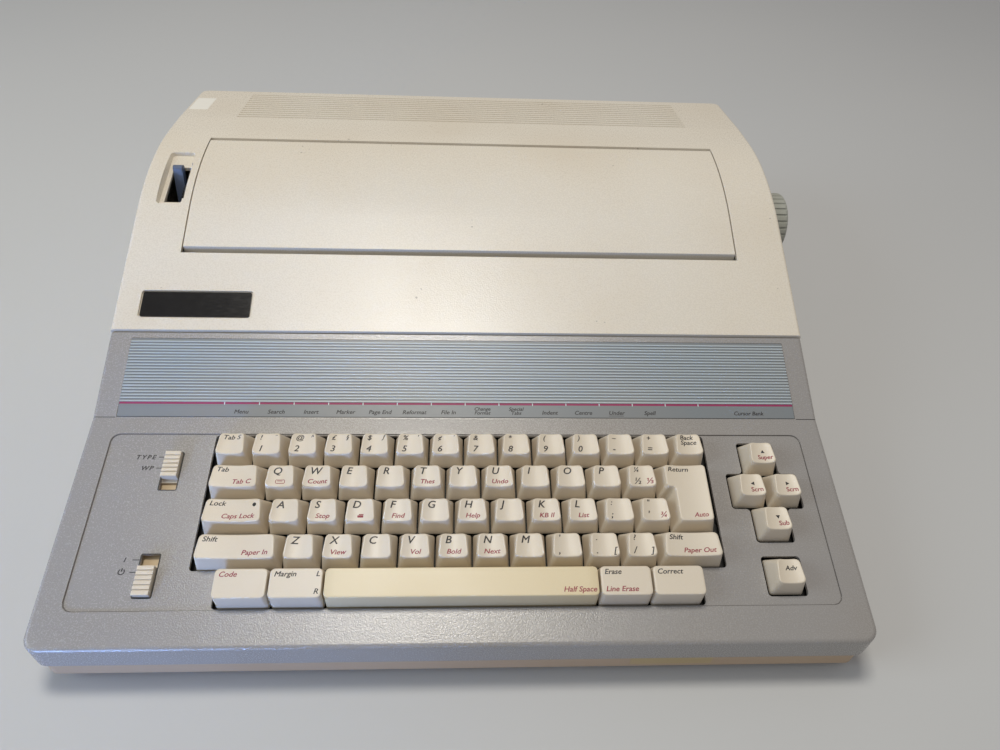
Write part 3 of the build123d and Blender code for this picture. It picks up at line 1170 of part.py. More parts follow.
with BuildPart() as wheel_motor:
    rod_y(0, WHEEL_Z, WHEEL_MOTOR_R, bulkhead_y, CARRIAGE_BACK_Y)
    rod_y(0, WHEEL_Z, WHEEL_SHAFT_R + FIT, CARRIAGE_BACK_Y - MOTOR_BORE, CARRIAGE_BACK_Y, mode=Mode.SUBTRACT)
put(wheel_motor.part, "wheel_motor")

WHEEL_FRONT_Y = WHEEL_Y - WHEEL_THICK / 2
WHEEL_PLANE = Plane(origin=(0, WHEEL_FRONT_Y, WHEEL_Z), x_dir=(1, 0, 0), z_dir=(0, -1, 0))
with BuildPart() as daisy_wheel:
    with BuildSketch(WHEEL_PLANE):
        Circle(WHEEL_DISC_R)
        with PolarLocations((WHEEL_R + WHEEL_DISC_R - WALL) / 2, PETALS):
            Rectangle(WHEEL_R - WHEEL_DISC_R, PETAL_WIDTH)
        with PolarLocations(WHEEL_R - PETAL_PAD_LENGTH / 2, PETALS):
            Rectangle(PETAL_PAD_LENGTH, PETAL_PAD)
    extrude(amount=-WHEEL_THICK)
    rod_y(0, WHEEL_Z, WHEEL_HUB_R, CARRIAGE_BACK_Y + LID_GAP, WHEEL_FRONT_Y)
    rod_y(0, WHEEL_Z, WHEEL_SHAFT_R, CARRIAGE_BACK_Y - MOTOR_BORE + SEAT, WHEEL_FRONT_Y)
put(daisy_wheel.part, "daisy_wheel")

with BuildPart() as hammer_coil:
    rod_y(0, PLATEN_Z, COIL_R, COIL_FRONT_Y, COIL_FRONT_Y + COIL_LENGTH)
    block(
        -COIL_STEM, COIL_STEM, COIL_FRONT_Y + WALL, COIL_FRONT_Y + COIL_LENGTH - WALL,
        CARRIAGE_TOP_Z, PLATEN_Z,
    )
    rod_y(0, PLATEN_Z, HAMMER_R + FIT, COIL_FRONT_Y, COIL_FRONT_Y + COIL_LENGTH, mode=Mode.SUBTRACT)
put(hammer_coil.part, "hammer_coil")

with BuildPart() as print_hammer:
    hammer_tip = WHEEL_FRONT_Y - HAMMER_TIP_GAP
    rod_y(0, PLATEN_Z, HAMMER_R, hammer_tip - HAMMER_LENGTH, hammer_tip)
put(print_hammer.part, "print_hammer")

with BuildPart() as ribbon_cassette:
    cassette_top = CARRIAGE_TOP_Z + CASSETTE_HEIGHT
    block(-CASSETTE_HALF, CASSETTE_HALF, CASSETTE_FRONT_Y, CASSETTE_BACK_Y, CARRIAGE_TOP_Z, cassette_top)
    fillet(ribbon_cassette.edges().filter_by(Axis.Z), CASSETTE_ARM / 2)
    block(
        -CASSETTE_NOTCH, CASSETTE_NOTCH, CASSETTE_NOTCH_Y, CASSETTE_BACK_Y, CARRIAGE_TOP_Z, cassette_top,
        mode=Mode.SUBTRACT,
    )
    for side in (-1, 1):
        x0, x1 = sorted((side * (CASSETTE_HALF - CASSETTE_ARM), side * CASSETTE_HALF))
        block(x0, x1, CASSETTE_BACK_Y - CASSETTE_ARM, CASSETTE_ARM_Y, CARRIAGE_TOP_Z, cassette_top)
put(ribbon_cassette.part, "ribbon_cassette")

# ---------------------------------------------------------------- belt drive
PULLEY_Z0 = SHELF_TOP + PULLEY_LIFT
PULLEY_Z1 = PULLEY_Z0 + PULLEY_HEIGHT


def pulley(x):
    """Flanged pulley for the carriage's belt."""
    with BuildPart() as wheel:
        rod_z(x, PULLEY_Y, PULLEY_R, PULLEY_Z0, PULLEY_Z1)
        rod_z(x, PULLEY_Y, PULLEY_FLANGE_R, PULLEY_Z0, PULLEY_Z0 + PULLEY_FLANGE)
        rod_z(x, PULLEY_Y, PULLEY_FLANGE_R, PULLEY_Z1 - PULLEY_FLANGE, PULLEY_Z1)
    return wheel.part


with BuildPart() as drive_pulley:
    add(pulley(PULLEY_X))
    rod_z(PULLEY_X, PULLEY_Y, MOTOR_SHAFT_R, SHELF_Z - MOTOR_BORE, PULLEY_Z0)
put(drive_pulley.part, "drive_pulley")

with BuildPart() as idler_pulley:
    add(pulley(-PULLEY_X))
    rod_z(-PULLEY_X, PULLEY_Y, MOTOR_SHAFT_R + FIT, 0, PLATEN_Z, mode=Mode.SUBTRACT)
put(idler_pulley.part, "idler_pulley")

with BuildPart() as carriage_motor:
    rod_z(PULLEY_X, PULLEY_Y, MOTOR_R, SHELF_Z - MOTOR_LENGTH, SHELF_Z)
    rod_z(PULLEY_X, PULLEY_Y, MOTOR_SHAFT_R + FIT, SHELF_Z - MOTOR_BORE - SEAT, SHELF_Z, mode=Mode.SUBTRACT)
put(carriage_motor.part, "carriage_motor")

with BuildPart() as carriage_belt:
    with BuildSketch(Plane.XY.offset(PULLEY_Z0 + (PULLEY_HEIGHT - BELT_HEIGHT) / 2)):
        for radius, mode in ((PULLEY_R + SEAT + BELT_THICK, Mode.ADD), (PULLEY_R + SEAT, Mode.SUBTRACT)):
            with Locations((0, PULLEY_Y)):
                SlotCenterToCenter(2 * PULLEY_X, 2 * radius, mode=mode)
    extrude(amount=BELT_HEIGHT)
put(carriage_belt.part, "carriage_belt")

# ---------------------------------------------------------------- boards and connectors
BOARD_Z = FLOOR + STANDOFF
with BuildPart() as main_board:
    with BuildSketch(Plane.XY.offset(BOARD_Z)):
        with Locations((MAIN_BOARD_X, MAIN_BOARD_Y)):
            Rectangle(MAIN_BOARD_WIDTH, MAIN_BOARD_DEPTH)
    extrude(amount=BOARD_THICK)
    with Locations((MAIN_BOARD_X, MAIN_BOARD_Y, BOARD_Z + BOARD_THICK + CHIP[2] / 2)):
        with GridLocations(CHIP_STEP_X, CHIP_STEP_Y, CHIP_COLUMNS, CHIP_ROWS):
            Box(*CHIP)
    with Locations((MAIN_BOARD_X, MAIN_BOARD_Y, FLOOR + STANDOFF / 2)):
        with GridLocations(MAIN_BOARD_WIDTH - 4 * STANDOFF_R, MAIN_BOARD_DEPTH - 4 * STANDOFF_R, 2, 2):
            Cylinder(STANDOFF_R, STANDOFF)
put(main_board.part, "main_board")

with BuildPart() as power_transformer:
    with Locations((TRANSFORMER_X, TRANSFORMER_Y, FLOOR + TRANSFORMER_CORE[2] / 2)):
        Box(*TRANSFORMER_CORE)
        Box(*TRANSFORMER_COIL)
put(power_transformer.part, "power_transformer")

SOCKET_BACK = DEPTH - BASE_IN


def socket_shell(x, width, height, depth, wall):
    """Open-backed shell of a socket in the rear wall."""
    half, rise = width / 2, height / 2
    block(x - half, x + half, SOCKET_BACK - depth, SOCKET_BACK, CONNECTOR_Z - rise, CONNECTOR_Z + rise)
    block(
        x - half + wall, x + half - wall, SOCKET_BACK - depth + wall, SOCKET_BACK,
        CONNECTOR_Z - rise + wall, CONNECTOR_Z + rise - wall, mode=Mode.SUBTRACT,
    )


INLET_FLOOR_Y = SOCKET_BACK - INLET_DEPTH + INLET_WALL
with BuildPart() as power_inlet:
    socket_shell(INLET_X, INLET_WIDTH, INLET_HEIGHT, INLET_DEPTH, INLET_WALL)
    for step, rise in ((-1, 0), (0, 0.5), (1, 0)):
        with Locations((
            INLET_X + step * INLET_PIN_STEP, INLET_FLOOR_Y + INLET_PIN_LENGTH / 2,
            CONNECTOR_Z + rise * INLET_PIN[1],
        )):
            Box(INLET_PIN[0], INLET_PIN_LENGTH, INLET_PIN[1])
put(power_inlet.part, "power_inlet")

TONGUE_LENGTH = PORT_DEPTH - PORT_FRONT_FREE
with BuildPart() as monitor_port:
    socket_shell(PORT_X, PORT_WIDTH, PORT_HEIGHT, PORT_DEPTH, PORT_WALL)
    with Locations((PORT_X, SOCKET_BACK - PORT_DEPTH + TONGUE_LENGTH / 2, CONNECTOR_Z)):
        Box(PORT_WIDTH / 2, TONGUE_LENGTH, PORT_TONGUE)
put(monitor_port.part, "monitor_port")
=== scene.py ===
# %% [markdown]
# # An electronic word processor
# This lesson dresses a desk-top word processor: a grey keyboard deck, a blue-grey strip of function
# names and a cream case with a lid over its printer. The construction is already there as a fixed frame
# of named solids, so each cell below either gives one of those solids its finish or sets a finer piece
# in its place. Sizes are written in millimetres, as a maker would, and turned into metres in one helper.

# %% Load the frame
import math

import bmesh
import bpy
import numpy as np
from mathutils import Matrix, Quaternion, Vector


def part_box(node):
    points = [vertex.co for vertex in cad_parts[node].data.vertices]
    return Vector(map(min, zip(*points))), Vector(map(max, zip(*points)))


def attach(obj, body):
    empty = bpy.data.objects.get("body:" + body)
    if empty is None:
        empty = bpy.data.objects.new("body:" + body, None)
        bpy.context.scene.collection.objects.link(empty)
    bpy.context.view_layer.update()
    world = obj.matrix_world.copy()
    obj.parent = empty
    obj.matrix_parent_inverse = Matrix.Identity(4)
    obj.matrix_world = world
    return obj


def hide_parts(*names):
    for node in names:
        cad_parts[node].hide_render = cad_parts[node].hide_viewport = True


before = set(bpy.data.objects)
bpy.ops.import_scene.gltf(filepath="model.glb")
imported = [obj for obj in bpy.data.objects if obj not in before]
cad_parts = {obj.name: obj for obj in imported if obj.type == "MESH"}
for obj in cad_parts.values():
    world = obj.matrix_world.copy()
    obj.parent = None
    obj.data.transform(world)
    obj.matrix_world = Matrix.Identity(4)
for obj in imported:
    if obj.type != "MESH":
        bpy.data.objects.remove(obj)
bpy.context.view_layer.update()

# %% [markdown]
# ## One measuring frame
# The machine is easiest to describe from its own middle plane, with y counted back from the front edge.
# The frame's origin lies under the middle of the footprint instead, and its unit is the metre, so every
# array of points passes through `placed` once, at the very end.

# %% From the maker's millimetres to the frame
MIDDLE = np.array([-6.0, -210.0, 0.0])
MM = 0.001


def placed(points):
    """Machine millimetres to frame metres: add the middle's offset, then divide by a thousand."""
    return (np.asarray(points, dtype=float) + MIDDLE) * MM


def sloped(points, origin, degrees):
    """Points given as (x, up the slope, off the slope) on a plane tilted back by that many degrees."""
    p = np.asarray(points, dtype=float)
    c, s = math.cos(math.radians(degrees)), math.sin(math.radians(degrees))
    y = origin[0] + p[..., 1] * c - p[..., 2] * s
    z = origin[1] + p[..., 1] * s + p[..., 2] * c
    return np.stack([p[..., 0], y, z], axis=-1)


DECK = ((0.0, 35.0), 12.0)
STRIP = ((122.268, 60.989), 22.0)


def on_deck(points):
    """Points on the keyboard deck's plane."""
    return sloped(points, *DECK)


def on_strip(points):
    """Points on the function strip's plane."""
    return sloped(points, *STRIP)


print("deck front edge in the frame:", placed(on_deck([[0, 0, 0]]))[0])

# %% [markdown]
# ## Surfaces from grids
# A surface here is a block of points, row by row. Neighbouring rows are joined by four-sided faces, and
# a ring's last column joins its first again. Working on whole blocks lets one call make every cap of a
# row of keys. Where a ring shrinks to one point, the doubled points are welded, so the pole is closed.

# %% Grid to mesh
GRID_WELD = 1e-7
SHARP_TURN = math.radians(35)


def grid_faces(rows, columns, ring):
    """Faces of one grid: each joins a point to the next in its row and to the two in the next row."""
    index = np.arange(rows * columns).reshape(rows, columns)
    after = np.roll(index, -1, axis=1) if ring else index[:, 1:]
    here = index if ring else index[:, :-1]
    return np.stack([here[:-1], after[:-1], after[1:], here[1:]], axis=-1).reshape(-1, 4)


def make_mesh(name, points, faces, finish, body, smooth=True, weld=False):
    """A mesh object from frame metres and faces, with its finish, riding on a body."""
    mesh = bpy.data.meshes.new(name)
    mesh.vertices.add(len(points))
    mesh.vertices.foreach_set("co", np.asarray(points, dtype=np.float32).ravel())
    count = faces.shape[1]
    mesh.loops.add(faces.size)
    mesh.loops.foreach_set("vertex_index", faces.ravel().astype(np.int32))
    mesh.polygons.add(len(faces))
    mesh.polygons.foreach_set("loop_start", np.arange(0, faces.size, count, dtype=np.int32))
    mesh.update(calc_edges=True)
    mesh.validate()
    if weld:
        work = bmesh.new()
        work.from_mesh(mesh)
        bmesh.ops.remove_doubles(work, verts=work.verts, dist=GRID_WELD)
        bmesh.ops.dissolve_degenerate(work, dist=GRID_WELD, edges=work.edges)
        work.to_mesh(mesh)
        work.free()
    if smooth:
        mesh.shade_smooth()
        mesh.set_sharp_from_angle(angle=SHARP_TURN)
    else:
        mesh.shade_flat()
    mesh.materials.append(finish)
    made = bpy.data.objects.new(name, mesh)
    bpy.context.collection.objects.link(made)
    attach(made, body)
    return made


def grids(name, blocks, finish, body, ring=False, smooth=True, weld=False):
    """Many equal grids as one mesh. blocks holds copies x rows x columns x 3, in machine millimetres."""
    blocks = np.asarray(blocks, dtype=float)
    copies, rows, columns = blocks.shape[:3]
    faces = grid_faces(rows, columns, ring)
    step = rows * columns
    every = (faces[None] + step * np.arange(copies)[:, None, None]).reshape(-1, 4)
    return make_mesh(name, placed(blocks).reshape(-1, 3), every, finish, body, smooth, weld)


print("faces of a closed grid of 5 x 8 points:", len(grid_faces(5, 8, True)))

# %% [markdown]
# ## A rounded outline as a formula
# Caps, stickers and levers are all rounded rectangles. Such an outline is two templates: where the
# middle of each corner's arc lies, as signs, and which way the arc points there. A size and a radius
# then give the points: template of places times (half size less radius), plus directions times radius.

# %% Rounded rectangle template
def rounded_template(per_corner=4, per_side=7):
    """Signs of the corner middles and arc directions, once round, starting at the right end of the back."""
    signs, ways = [], []
    turns = np.linspace(0, math.pi / 2, per_corner)
    for k, (sx, sy) in enumerate(((1, 1), (-1, 1), (-1, -1), (1, -1))):
        angle = turns + k * math.pi / 2
        signs.append(np.tile([sx, sy], (per_corner, 1)))
        ways.append(np.stack([np.cos(angle), np.sin(angle)], axis=-1))
        nx, ny = ((-1, 1), (-1, -1), (1, -1), (1, 1))[k]
        share = np.linspace(0, 1, per_side + 2)[1:-1, None]
        signs.append((1 - share) * np.array([[sx, sy]]) + share * np.array([[nx, ny]]))
        ways.append(np.tile([math.cos(angle[-1]), math.sin(angle[-1])], (per_side, 1)))
    return np.concatenate(signs), np.concatenate(ways)


SIGNS, WAYS = rounded_template()


def rounded_ring(half, radius, middle=(0, 0)):
    """Rounded rectangles as points: signs times (half size less radius), plus directions times radius."""
    half = np.asarray(half, dtype=float)[..., None, :]
    radius = np.asarray(radius, dtype=float)[..., None, None]
    return SIGNS * (half - radius) + WAYS * radius + np.asarray(middle, dtype=float)[..., None, :]


print("points in a rounded outline:", len(SIGNS))

# %% [markdown]
# ## A workshop for finishes
# Nearly everything on this machine is moulded plastic, told apart by colour, grain and age. A small
# builder keeps each finish honest: it sets plain values on the shader's own sockets, and drives colour,
# roughness and bump from noise measured in millimetres on the piece itself. Colours are written as they
# look on the screen, because that is how one picks them, and are turned into light amounts here.

# %% Colours
def linear(r, g, b):
    """A colour written as 0 to 255 steps, as a linear colour: the usual screen curve undone."""
    c = np.array([r, g, b]) / 255
    flat = np.where(c <= 0.04045, c / 12.92, ((c + 0.055) / 1.055) ** 2.4)
    return (*flat.tolist(), 1.0)


def shaded(colour, factor, lift=0.0):
    """A colour made lighter or darker: each part times the factor, plus the lift, held at one."""
    return tuple(min(1.0, part * factor + lift) for part in colour[:3]) + (1.0,)


print("a screen grey of 128 is", round(linear(128, 128, 128)[0], 3), "as light")

# %% Node helpers
class Finish:
    """A material under construction, with its tree, its shader and a millimetre grid to draw on."""

    def __init__(self, name, turn=0.0, about=(0.0, 0.0, 0.0)):
        self.material = bpy.data.materials.new(name)
        self.material.use_nodes = True
        self.tree = self.material.node_tree
        self.shader = self.tree.nodes["Principled BSDF"]
        self.place = self.node("ShaderNodeTexCoord").outputs["Object"]
        mapping = self.node("ShaderNodeMapping", vector_type="TEXTURE")
        mapping.inputs["Location"].default_value = about
        mapping.inputs["Rotation"].default_value = (turn, 0, 0)
        mapping.inputs["Scale"].default_value = (MM, MM, MM)
        self.join(self.place, mapping.inputs["Vector"])
        self.grid = mapping.outputs["Vector"]

    def node(self, kind, **settings):
        """A new node with its settings."""
        made = self.tree.nodes.new(kind)
        for key, value in settings.items():
            setattr(made, key, value)
        return made

    def join(self, out, into):
        """A link from an output to an input."""
        self.tree.links.new(out, into)

    def noise(self, size, detail=2.0, roughness=0.5, vector=None):
        """Cloudy noise whose blobs are about that many millimetres across."""
        made = self.node("ShaderNodeTexNoise")
        made.inputs["Scale"].default_value = 1.0 / size
        made.inputs["Detail"].default_value = detail
        made.inputs["Roughness"].default_value = roughness
        self.join(vector or self.grid, made.inputs["Vector"])
        return made.outputs["Fac"]

    def stretched(self, ways):
        """The millimetre grid multiplied along each way: a small factor draws the noise out that way."""
        made = self.node("ShaderNodeVectorMath", operation="MULTIPLY")
        made.inputs[1].default_value = ways
        self.join(self.grid, made.inputs[0])
        return made.outputs["Vector"]

    def spread(self, value, low, high, start, end):
        """A value between low and high moved to between start and end, and held there outside."""
        made = self.node("ShaderNodeMapRange")
        for name, number in (("From Min", low), ("From Max", high), ("To Min", start), ("To Max", end)):
            made.inputs[name].default_value = number
        self.join(value, made.inputs["Value"])
        return made.outputs["Result"]

    def mix(self, factor, first, second):
        """A colour between two, each a colour or an output."""
        made = self.node("ShaderNodeMix", data_type="RGBA")
        self.join(factor, made.inputs["Factor"])
        for side, socket in ((first, made.inputs[6]), (second, made.inputs[7])):
            if isinstance(side, tuple):
                socket.default_value = side
            else:
                self.join(side, socket)
        return made.outputs[2]

    def sums(self, operation, first, second):
        """Arithmetic on two values, each a number or an output."""
        made = self.node("ShaderNodeMath", operation=operation)
        for side, socket in ((first, made.inputs[0]), (second, made.inputs[1])):
            if isinstance(side, (int, float)):
                socket.default_value = side
            else:
                self.join(side, socket)
        return made.outputs[0]

    def bump(self, height, depth, normal=None):
        """Relief of that depth in millimetres, laid over another normal if there is one."""
        made = self.node("ShaderNodeBump")
        made.inputs["Distance"].default_value = depth * MM
        self.join(height, made.inputs["Height"])
        if normal is not None:
            self.join(normal, made.inputs["Normal"])
        return made.outputs["Normal"]

    def edges(self, radius):
        """(rounded normal, mask near sharp edges): how far the rounded normal leans from the true one."""
        bevel = self.node("ShaderNodeBevel", samples=4)
        bevel.inputs["Radius"].default_value = radius * MM
        geometry = self.node("ShaderNodeNewGeometry")
        lean = self.node("ShaderNodeVectorMath", operation="DOT_PRODUCT")
        self.join(bevel.outputs["Normal"], lean.inputs[0])
        self.join(geometry.outputs["Normal"], lean.inputs[1])
        return bevel.outputs["Normal"], self.spread(lean.outputs["Value"], 1.0, 0.85, 0.0, 1.0)

    def done(self, colour, roughness, normal, **sockets):
        """Links colour, roughness and normal to the shader and sets its plain values."""
        if isinstance(colour, tuple):
            self.shader.inputs["Base Color"].default_value = colour
        else:
            self.join(colour, self.shader.inputs["Base Color"])
        self.join(roughness, self.shader.inputs["Roughness"])
        self.join(normal, self.shader.inputs["Normal"])
        for name, value in sockets.items():
            self.shader.inputs[name.replace("_", " ")].default_value = value
        return self.material


print("steps that a finish can be built from:", len([step for step in vars(Finish) if step[0] != "_"]))

# %% [markdown]
# ## Moulded plastic
# The shells are injection-moulded from steel tools that were etched with a fine sand pattern, so light
# breaks into tiny sparks on them. Age has yellowed the plastic unevenly and a few specks of dirt sit in
# the grain; each of these is one layer of noise at its own scale. Near sharp edges the colour is painted
# paler: partly the polish of hands, partly a painted highlight where a rounded edge catches the light.

# %% The moulded plastic finish
# Share of the paler edge band: hand wear and a painted highlight.
EDGE_WEAR_AND_HIGHLIGHT = 0.35
SPECK_TONE = linear(96, 88, 74)


def moulded(name, colour, aged, grain, depth, rough, edge=0.5, specks=0.0, lift=0.10, **sockets):
    """Moulded plastic: sand grain of that size and depth, uneven ageing, paler edges (hand wear and a
    painted highlight) and rare specks.
    """
    f = Finish(name)
    cloud = f.spread(f.noise(90.0, 3.0), 0.35, 0.7, 0.0, 1.0)
    sand = f.noise(grain, 2.0, 0.6)
    body = f.mix(cloud, colour, aged)
    pale, dark = shaded(colour, 1 + lift), shaded(colour, 1 - lift)
    toned = f.mix(f.spread(sand, 0.3, 0.7, 0.0, 0.5), body, f.mix(sand, dark, pale))
    rounded = None
    if edge:
        rounded, worn = f.edges(edge)
        # Paler near sharp edges: hand wear, and a painted highlight where the rounded edge turns to the
        # light.
        toned = f.mix(f.sums("MULTIPLY", worn, EDGE_WEAR_AND_HIGHLIGHT), toned, pale)
    if specks:
        dots = f.sums("MULTIPLY", f.noise(2.4, 0.0), f.noise(23.0, 0.0))
        toned = f.mix(f.spread(dots, 0.62, 0.64, 0.0, specks), toned, SPECK_TONE)
    roughness = f.spread(sand, 0.3, 0.7, rough - 0.08, rough + 0.08)
    roughness = f.sums("ADD", roughness, f.spread(cloud, 0.0, 1.0, -0.03, 0.03))
    return f.done(toned, roughness, f.bump(sand, depth, rounded), **sockets)


print("moulded plastic: sand, clouds, worn edges, specks")

# %% [markdown]
# ## The plastics of this machine
# Each part was run in its own batch of plastic: a cream case, a darker grey deck, a beige tray, ivory
# caps and a yellower space bar, which is of another plastic and has aged more. The grain is coarse and
# deep on the case and the deck, because their tools were etched, and nearly absent on the caps, which
# fingers have polished. One builder with different numbers keeps them a family.

# %% Plastics by colour, age, grain, depth and roughness
CREAM_TONES = (linear(223, 216, 203), linear(216, 206, 189))
CREAM = moulded("cream_shell", *CREAM_TONES, 0.85, 0.11, 0.29, edge=0.12, specks=0.5,
                Specular_IOR_Level=0.45)
# The lid's edge mask is wider, so its front lip gets a broader paler band: a painted highlight, besides the
# rounder normal.
LID_CREAM = moulded("cream_lid", *CREAM_TONES, 0.85, 0.11, 0.29, edge=0.5, specks=0.5,
                    Specular_IOR_Level=0.45)
DECK_GREY = moulded("grey_deck", linear(154, 152, 152), linear(148, 143, 138), 0.7, 0.13, 0.25,
                    edge=0.12, Specular_IOR_Level=0.8)
TRAY = moulded("beige_tray", linear(188, 166, 142), linear(180, 156, 130), 1.0, 0.12, 0.5)
IVORY = moulded("ivory_caps", linear(220, 210, 194), linear(214, 201, 180), 0.35, 0.02, 0.42, edge=0.25)
WARM_BAR = moulded("space_bar_plastic", linear(222, 208, 176), linear(216, 198, 158), 0.35, 0.02, 0.42,
                   edge=0.25)
KNOB_GREY = moulded("grey_knob", linear(166, 168, 160), linear(158, 159, 149), 0.5, 0.03, 0.5)
LEVER_BLUE = moulded("blue_lever", linear(94, 106, 132), linear(86, 98, 122), 0.5, 0.03, 0.4)
BLACK = moulded("black_mouldings", linear(24, 24, 25), linear(30, 29, 28), 0.6, 0.03, 0.5)
SWITCH_TAN = moulded("switch_tan", linear(206, 184, 150), linear(196, 172, 136), 0.5, 0.02, 0.5)
NYLON = moulded("natural_nylon", linear(214, 208, 192), linear(206, 196, 176), 0.5, 0.02, 0.4)
DARK_NYLON = moulded("dark_nylon", linear(40, 41, 43), linear(48, 47, 46), 0.5, 0.02, 0.45)
print("finishes in the file, with those of the plain solids:", len(bpy.data.materials))

# %% [markdown]
# ## Rubber, metal and board
# Under the lid there are ground rubber rolls, zinc-plated sheet, drawn motor cans and varnished circuit
# boards. Rubber is dull with a fine ground bloom. Plated sheet has long faint streaks from rolling, so
# its noise is stretched along one direction. Boards are varnished over a weave.

# %% Rubber, metal and board finishes
def rubber(name, colour, rough=0.75):
    """Ground rubber: a dull bloom in two scales of noise."""
    f = Finish(name)
    bloom = f.noise(7.0, 4.0, 0.6)
    ground = f.noise(0.4, 2.0)
    toned = f.mix(f.spread(bloom, 0.35, 0.7, 0.0, 0.6), colour, shaded(colour, 1.8, 0.01))
    roughness = f.spread(ground, 0.3, 0.7, rough - 0.06, rough + 0.1)
    return f.done(toned, roughness, f.bump(ground, 0.02, f.edges(0.4)[0]))


def metal(name, colour, stretch, rough=0.38):
    """Plated or ground metal: streaks stretched along one way, and small cloudy stains."""
    f = Finish(name)
    streak = f.noise(0.5, 3.0, 0.6, f.stretched(stretch))
    stain = f.noise(18.0, 4.0, 0.6)
    dull = shaded(colour, 0.72)
    toned = f.mix(f.spread(stain, 0.4, 0.75, 0.0, 0.7), colour, dull)
    toned = f.mix(f.spread(streak, 0.3, 0.7, 0.0, 0.35), toned, dull)
    roughness = f.spread(streak, 0.3, 0.7, rough - 0.1, rough + 0.1)
    roughness = f.sums("ADD", roughness, f.spread(stain, 0.3, 0.7, 0.0, 0.08))
    return f.done(toned, roughness, f.bump(streak, 0.01, f.edges(0.3)[0]), Metallic=1.0)


RUN_LENGTH = 6
BOARD_THICK = 1.7


def laminate(name, parts_from=None):
    """Varnished board: green lacquer over a fine weave, with copper runs showing as a paler green. What
    stands higher than parts_from is a soldered part and is black."""
    f = Finish(name)
    runs = f.node("ShaderNodeTexBrick")
    runs.inputs["Scale"].default_value = 1 / RUN_LENGTH
    runs.inputs["Mortar Size"].default_value = 0.06
    f.join(f.grid, runs.inputs["Vector"])
    weave = f.noise(0.5, 1.0)
    toned = f.mix(runs.outputs["Fac"], linear(24, 82, 48), linear(52, 118, 70))
    toned = f.mix(f.spread(weave, 0.35, 0.65, 0.0, 0.25), toned, linear(16, 60, 36))
    if parts_from:
        axes = f.node("ShaderNodeSeparateXYZ")
        f.join(f.grid, axes.inputs["Vector"])
        part = f.spread(axes.outputs["Z"], parts_from, parts_from + 0.05, 0.0, 1.0)
        toned = f.mix(part, toned, linear(34, 34, 36))
    return f.done(toned, f.spread(weave, 0.3, 0.7, 0.22, 0.36), f.bump(runs.outputs["Fac"], 0.03))


RUBBER = rubber("black_rubber", linear(34, 34, 35))
FEET = rubber("foot_rubber", linear(44, 42, 40))
ZINC = metal("zinc_sheet", linear(176, 178, 176), (1.0, 0.08, 0.08))
STEEL = metal("ground_steel", linear(190, 192, 194), (0.04, 1.0, 1.0), 0.25)
CAN = metal("motor_can", linear(150, 152, 155), (1.0, 1.0, 0.1), 0.42)
BOARD = laminate("green_board")
MAIN_BOARD = laminate("green_board_with_parts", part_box("main_board")[0][2] / MM + BOARD_THICK)
print("finishes in the file by now:", len(bpy.data.materials))

# %% [markdown]
# ## Dressing the solids that stay
# The shells, the printer and the boards already have their true shapes, so they only need a surface. A
# finish goes into a solid's material slot and the mesh is left alone: its place is shared with the other
# views of the machine. Copying it to a new piece would gain nothing and could drift from the original.

# %% Dress the solids that stay
def dress(finish, *names):
    """Gives CAD nodes their finish, in each of their material slots."""
    for name in names:
        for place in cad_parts[name].material_slots:
            place.material = finish


dress(CREAM, "upper_case")
dress(LID_CREAM, "lid")
dress(DECK_GREY, "keyboard_deck")
dress(TRAY, "base_tray")
dress(BLACK, "key_plate", "ribbon_cassette", "power_inlet", "monitor_port")
dress(SWITCH_TAN, "switch_housings")
dress(NYLON, "daisy_wheel", "drive_pulley", "idler_pulley", "platen_bushes")
dress(DARK_NYLON, "platen_gear", "feed_pinion")
dress(RUBBER, "platen_roller", "feed_rollers", "bail_rollers", "carriage_belt")
dress(FEET, "rubber_feet")
dress(ZINC, "side_frames", "paper_pan", "bail_frame", "carriage_frame", "case_screws")
dress(STEEL, "guide_rod", "rear_rail", "platen_shaft", "print_hammer", "lid_hinge_pins")
dress(CAN, "line_feed_motor", "carriage_motor", "wheel_motor", "hammer_coil", "power_transformer")
dress(BOARD, "keyboard_board")
dress(MAIN_BOARD, "main_board")
dress(IVORY, "mode_slider", "power_slider")
dress(KNOB_GREY, "platen_knob")
dress(LEVER_BLUE, "release_lever")
print("nodes in the frame:", len(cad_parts))

# %% [markdown]
# ## The function strip
# A thin blue-grey plate lies in a pocket behind the keys. Its upper part has fine ridges whose tops are
# printed paler. Rather than a stripe drawn at random, the finish measures how far a point stands off
# the plate, so the paint lies exactly on the ridges that the solid has.

# %% Ridged plate finish
RIDGE_FOOT = 0.30
RIDGE_TOP = 0.45


def ridged_plate():
    """Blue-grey plate: height off the plate decides between ground colour and ridge paint."""
    start = placed(on_strip([[0.0, 0.0, 0.0]]))[0]
    f = Finish("blue_grey_strip", turn=math.radians(STRIP[1]), about=tuple(start))
    axes = f.node("ShaderNodeSeparateXYZ")
    f.join(f.grid, axes.inputs["Vector"])
    raised = f.spread(axes.outputs["Z"], RIDGE_FOOT, RIDGE_TOP, 0.0, 1.0)
    cloud = f.noise(60.0, 3.0)
    fine = f.noise(0.4, 1.0)
    ground = f.mix(f.spread(cloud, 0.35, 0.7, 0.0, 1.0), linear(124, 131, 137), linear(130, 132, 134))
    paint = f.mix(f.spread(cloud, 0.35, 0.7, 0.0, 1.0), linear(170, 181, 188), linear(176, 183, 186))
    toned = f.mix(raised, ground, paint)
    return f.done(toned, f.spread(fine, 0.3, 0.7, 0.34, 0.46), f.bump(fine, 0.01, f.edges(0.12)[0]))


dress(ridged_plate(), "function_strip")

# %% [markdown]
# ## The badge
# A gloss black plate sits in a shallow pocket at the case's front left. It is bare here. Gloss plastic
# shows fine hairline scratches before anything else, so that is its detail: they are noise drawn out
# twenty times along one way, which is cheaper than a scratch picture and has no seams.

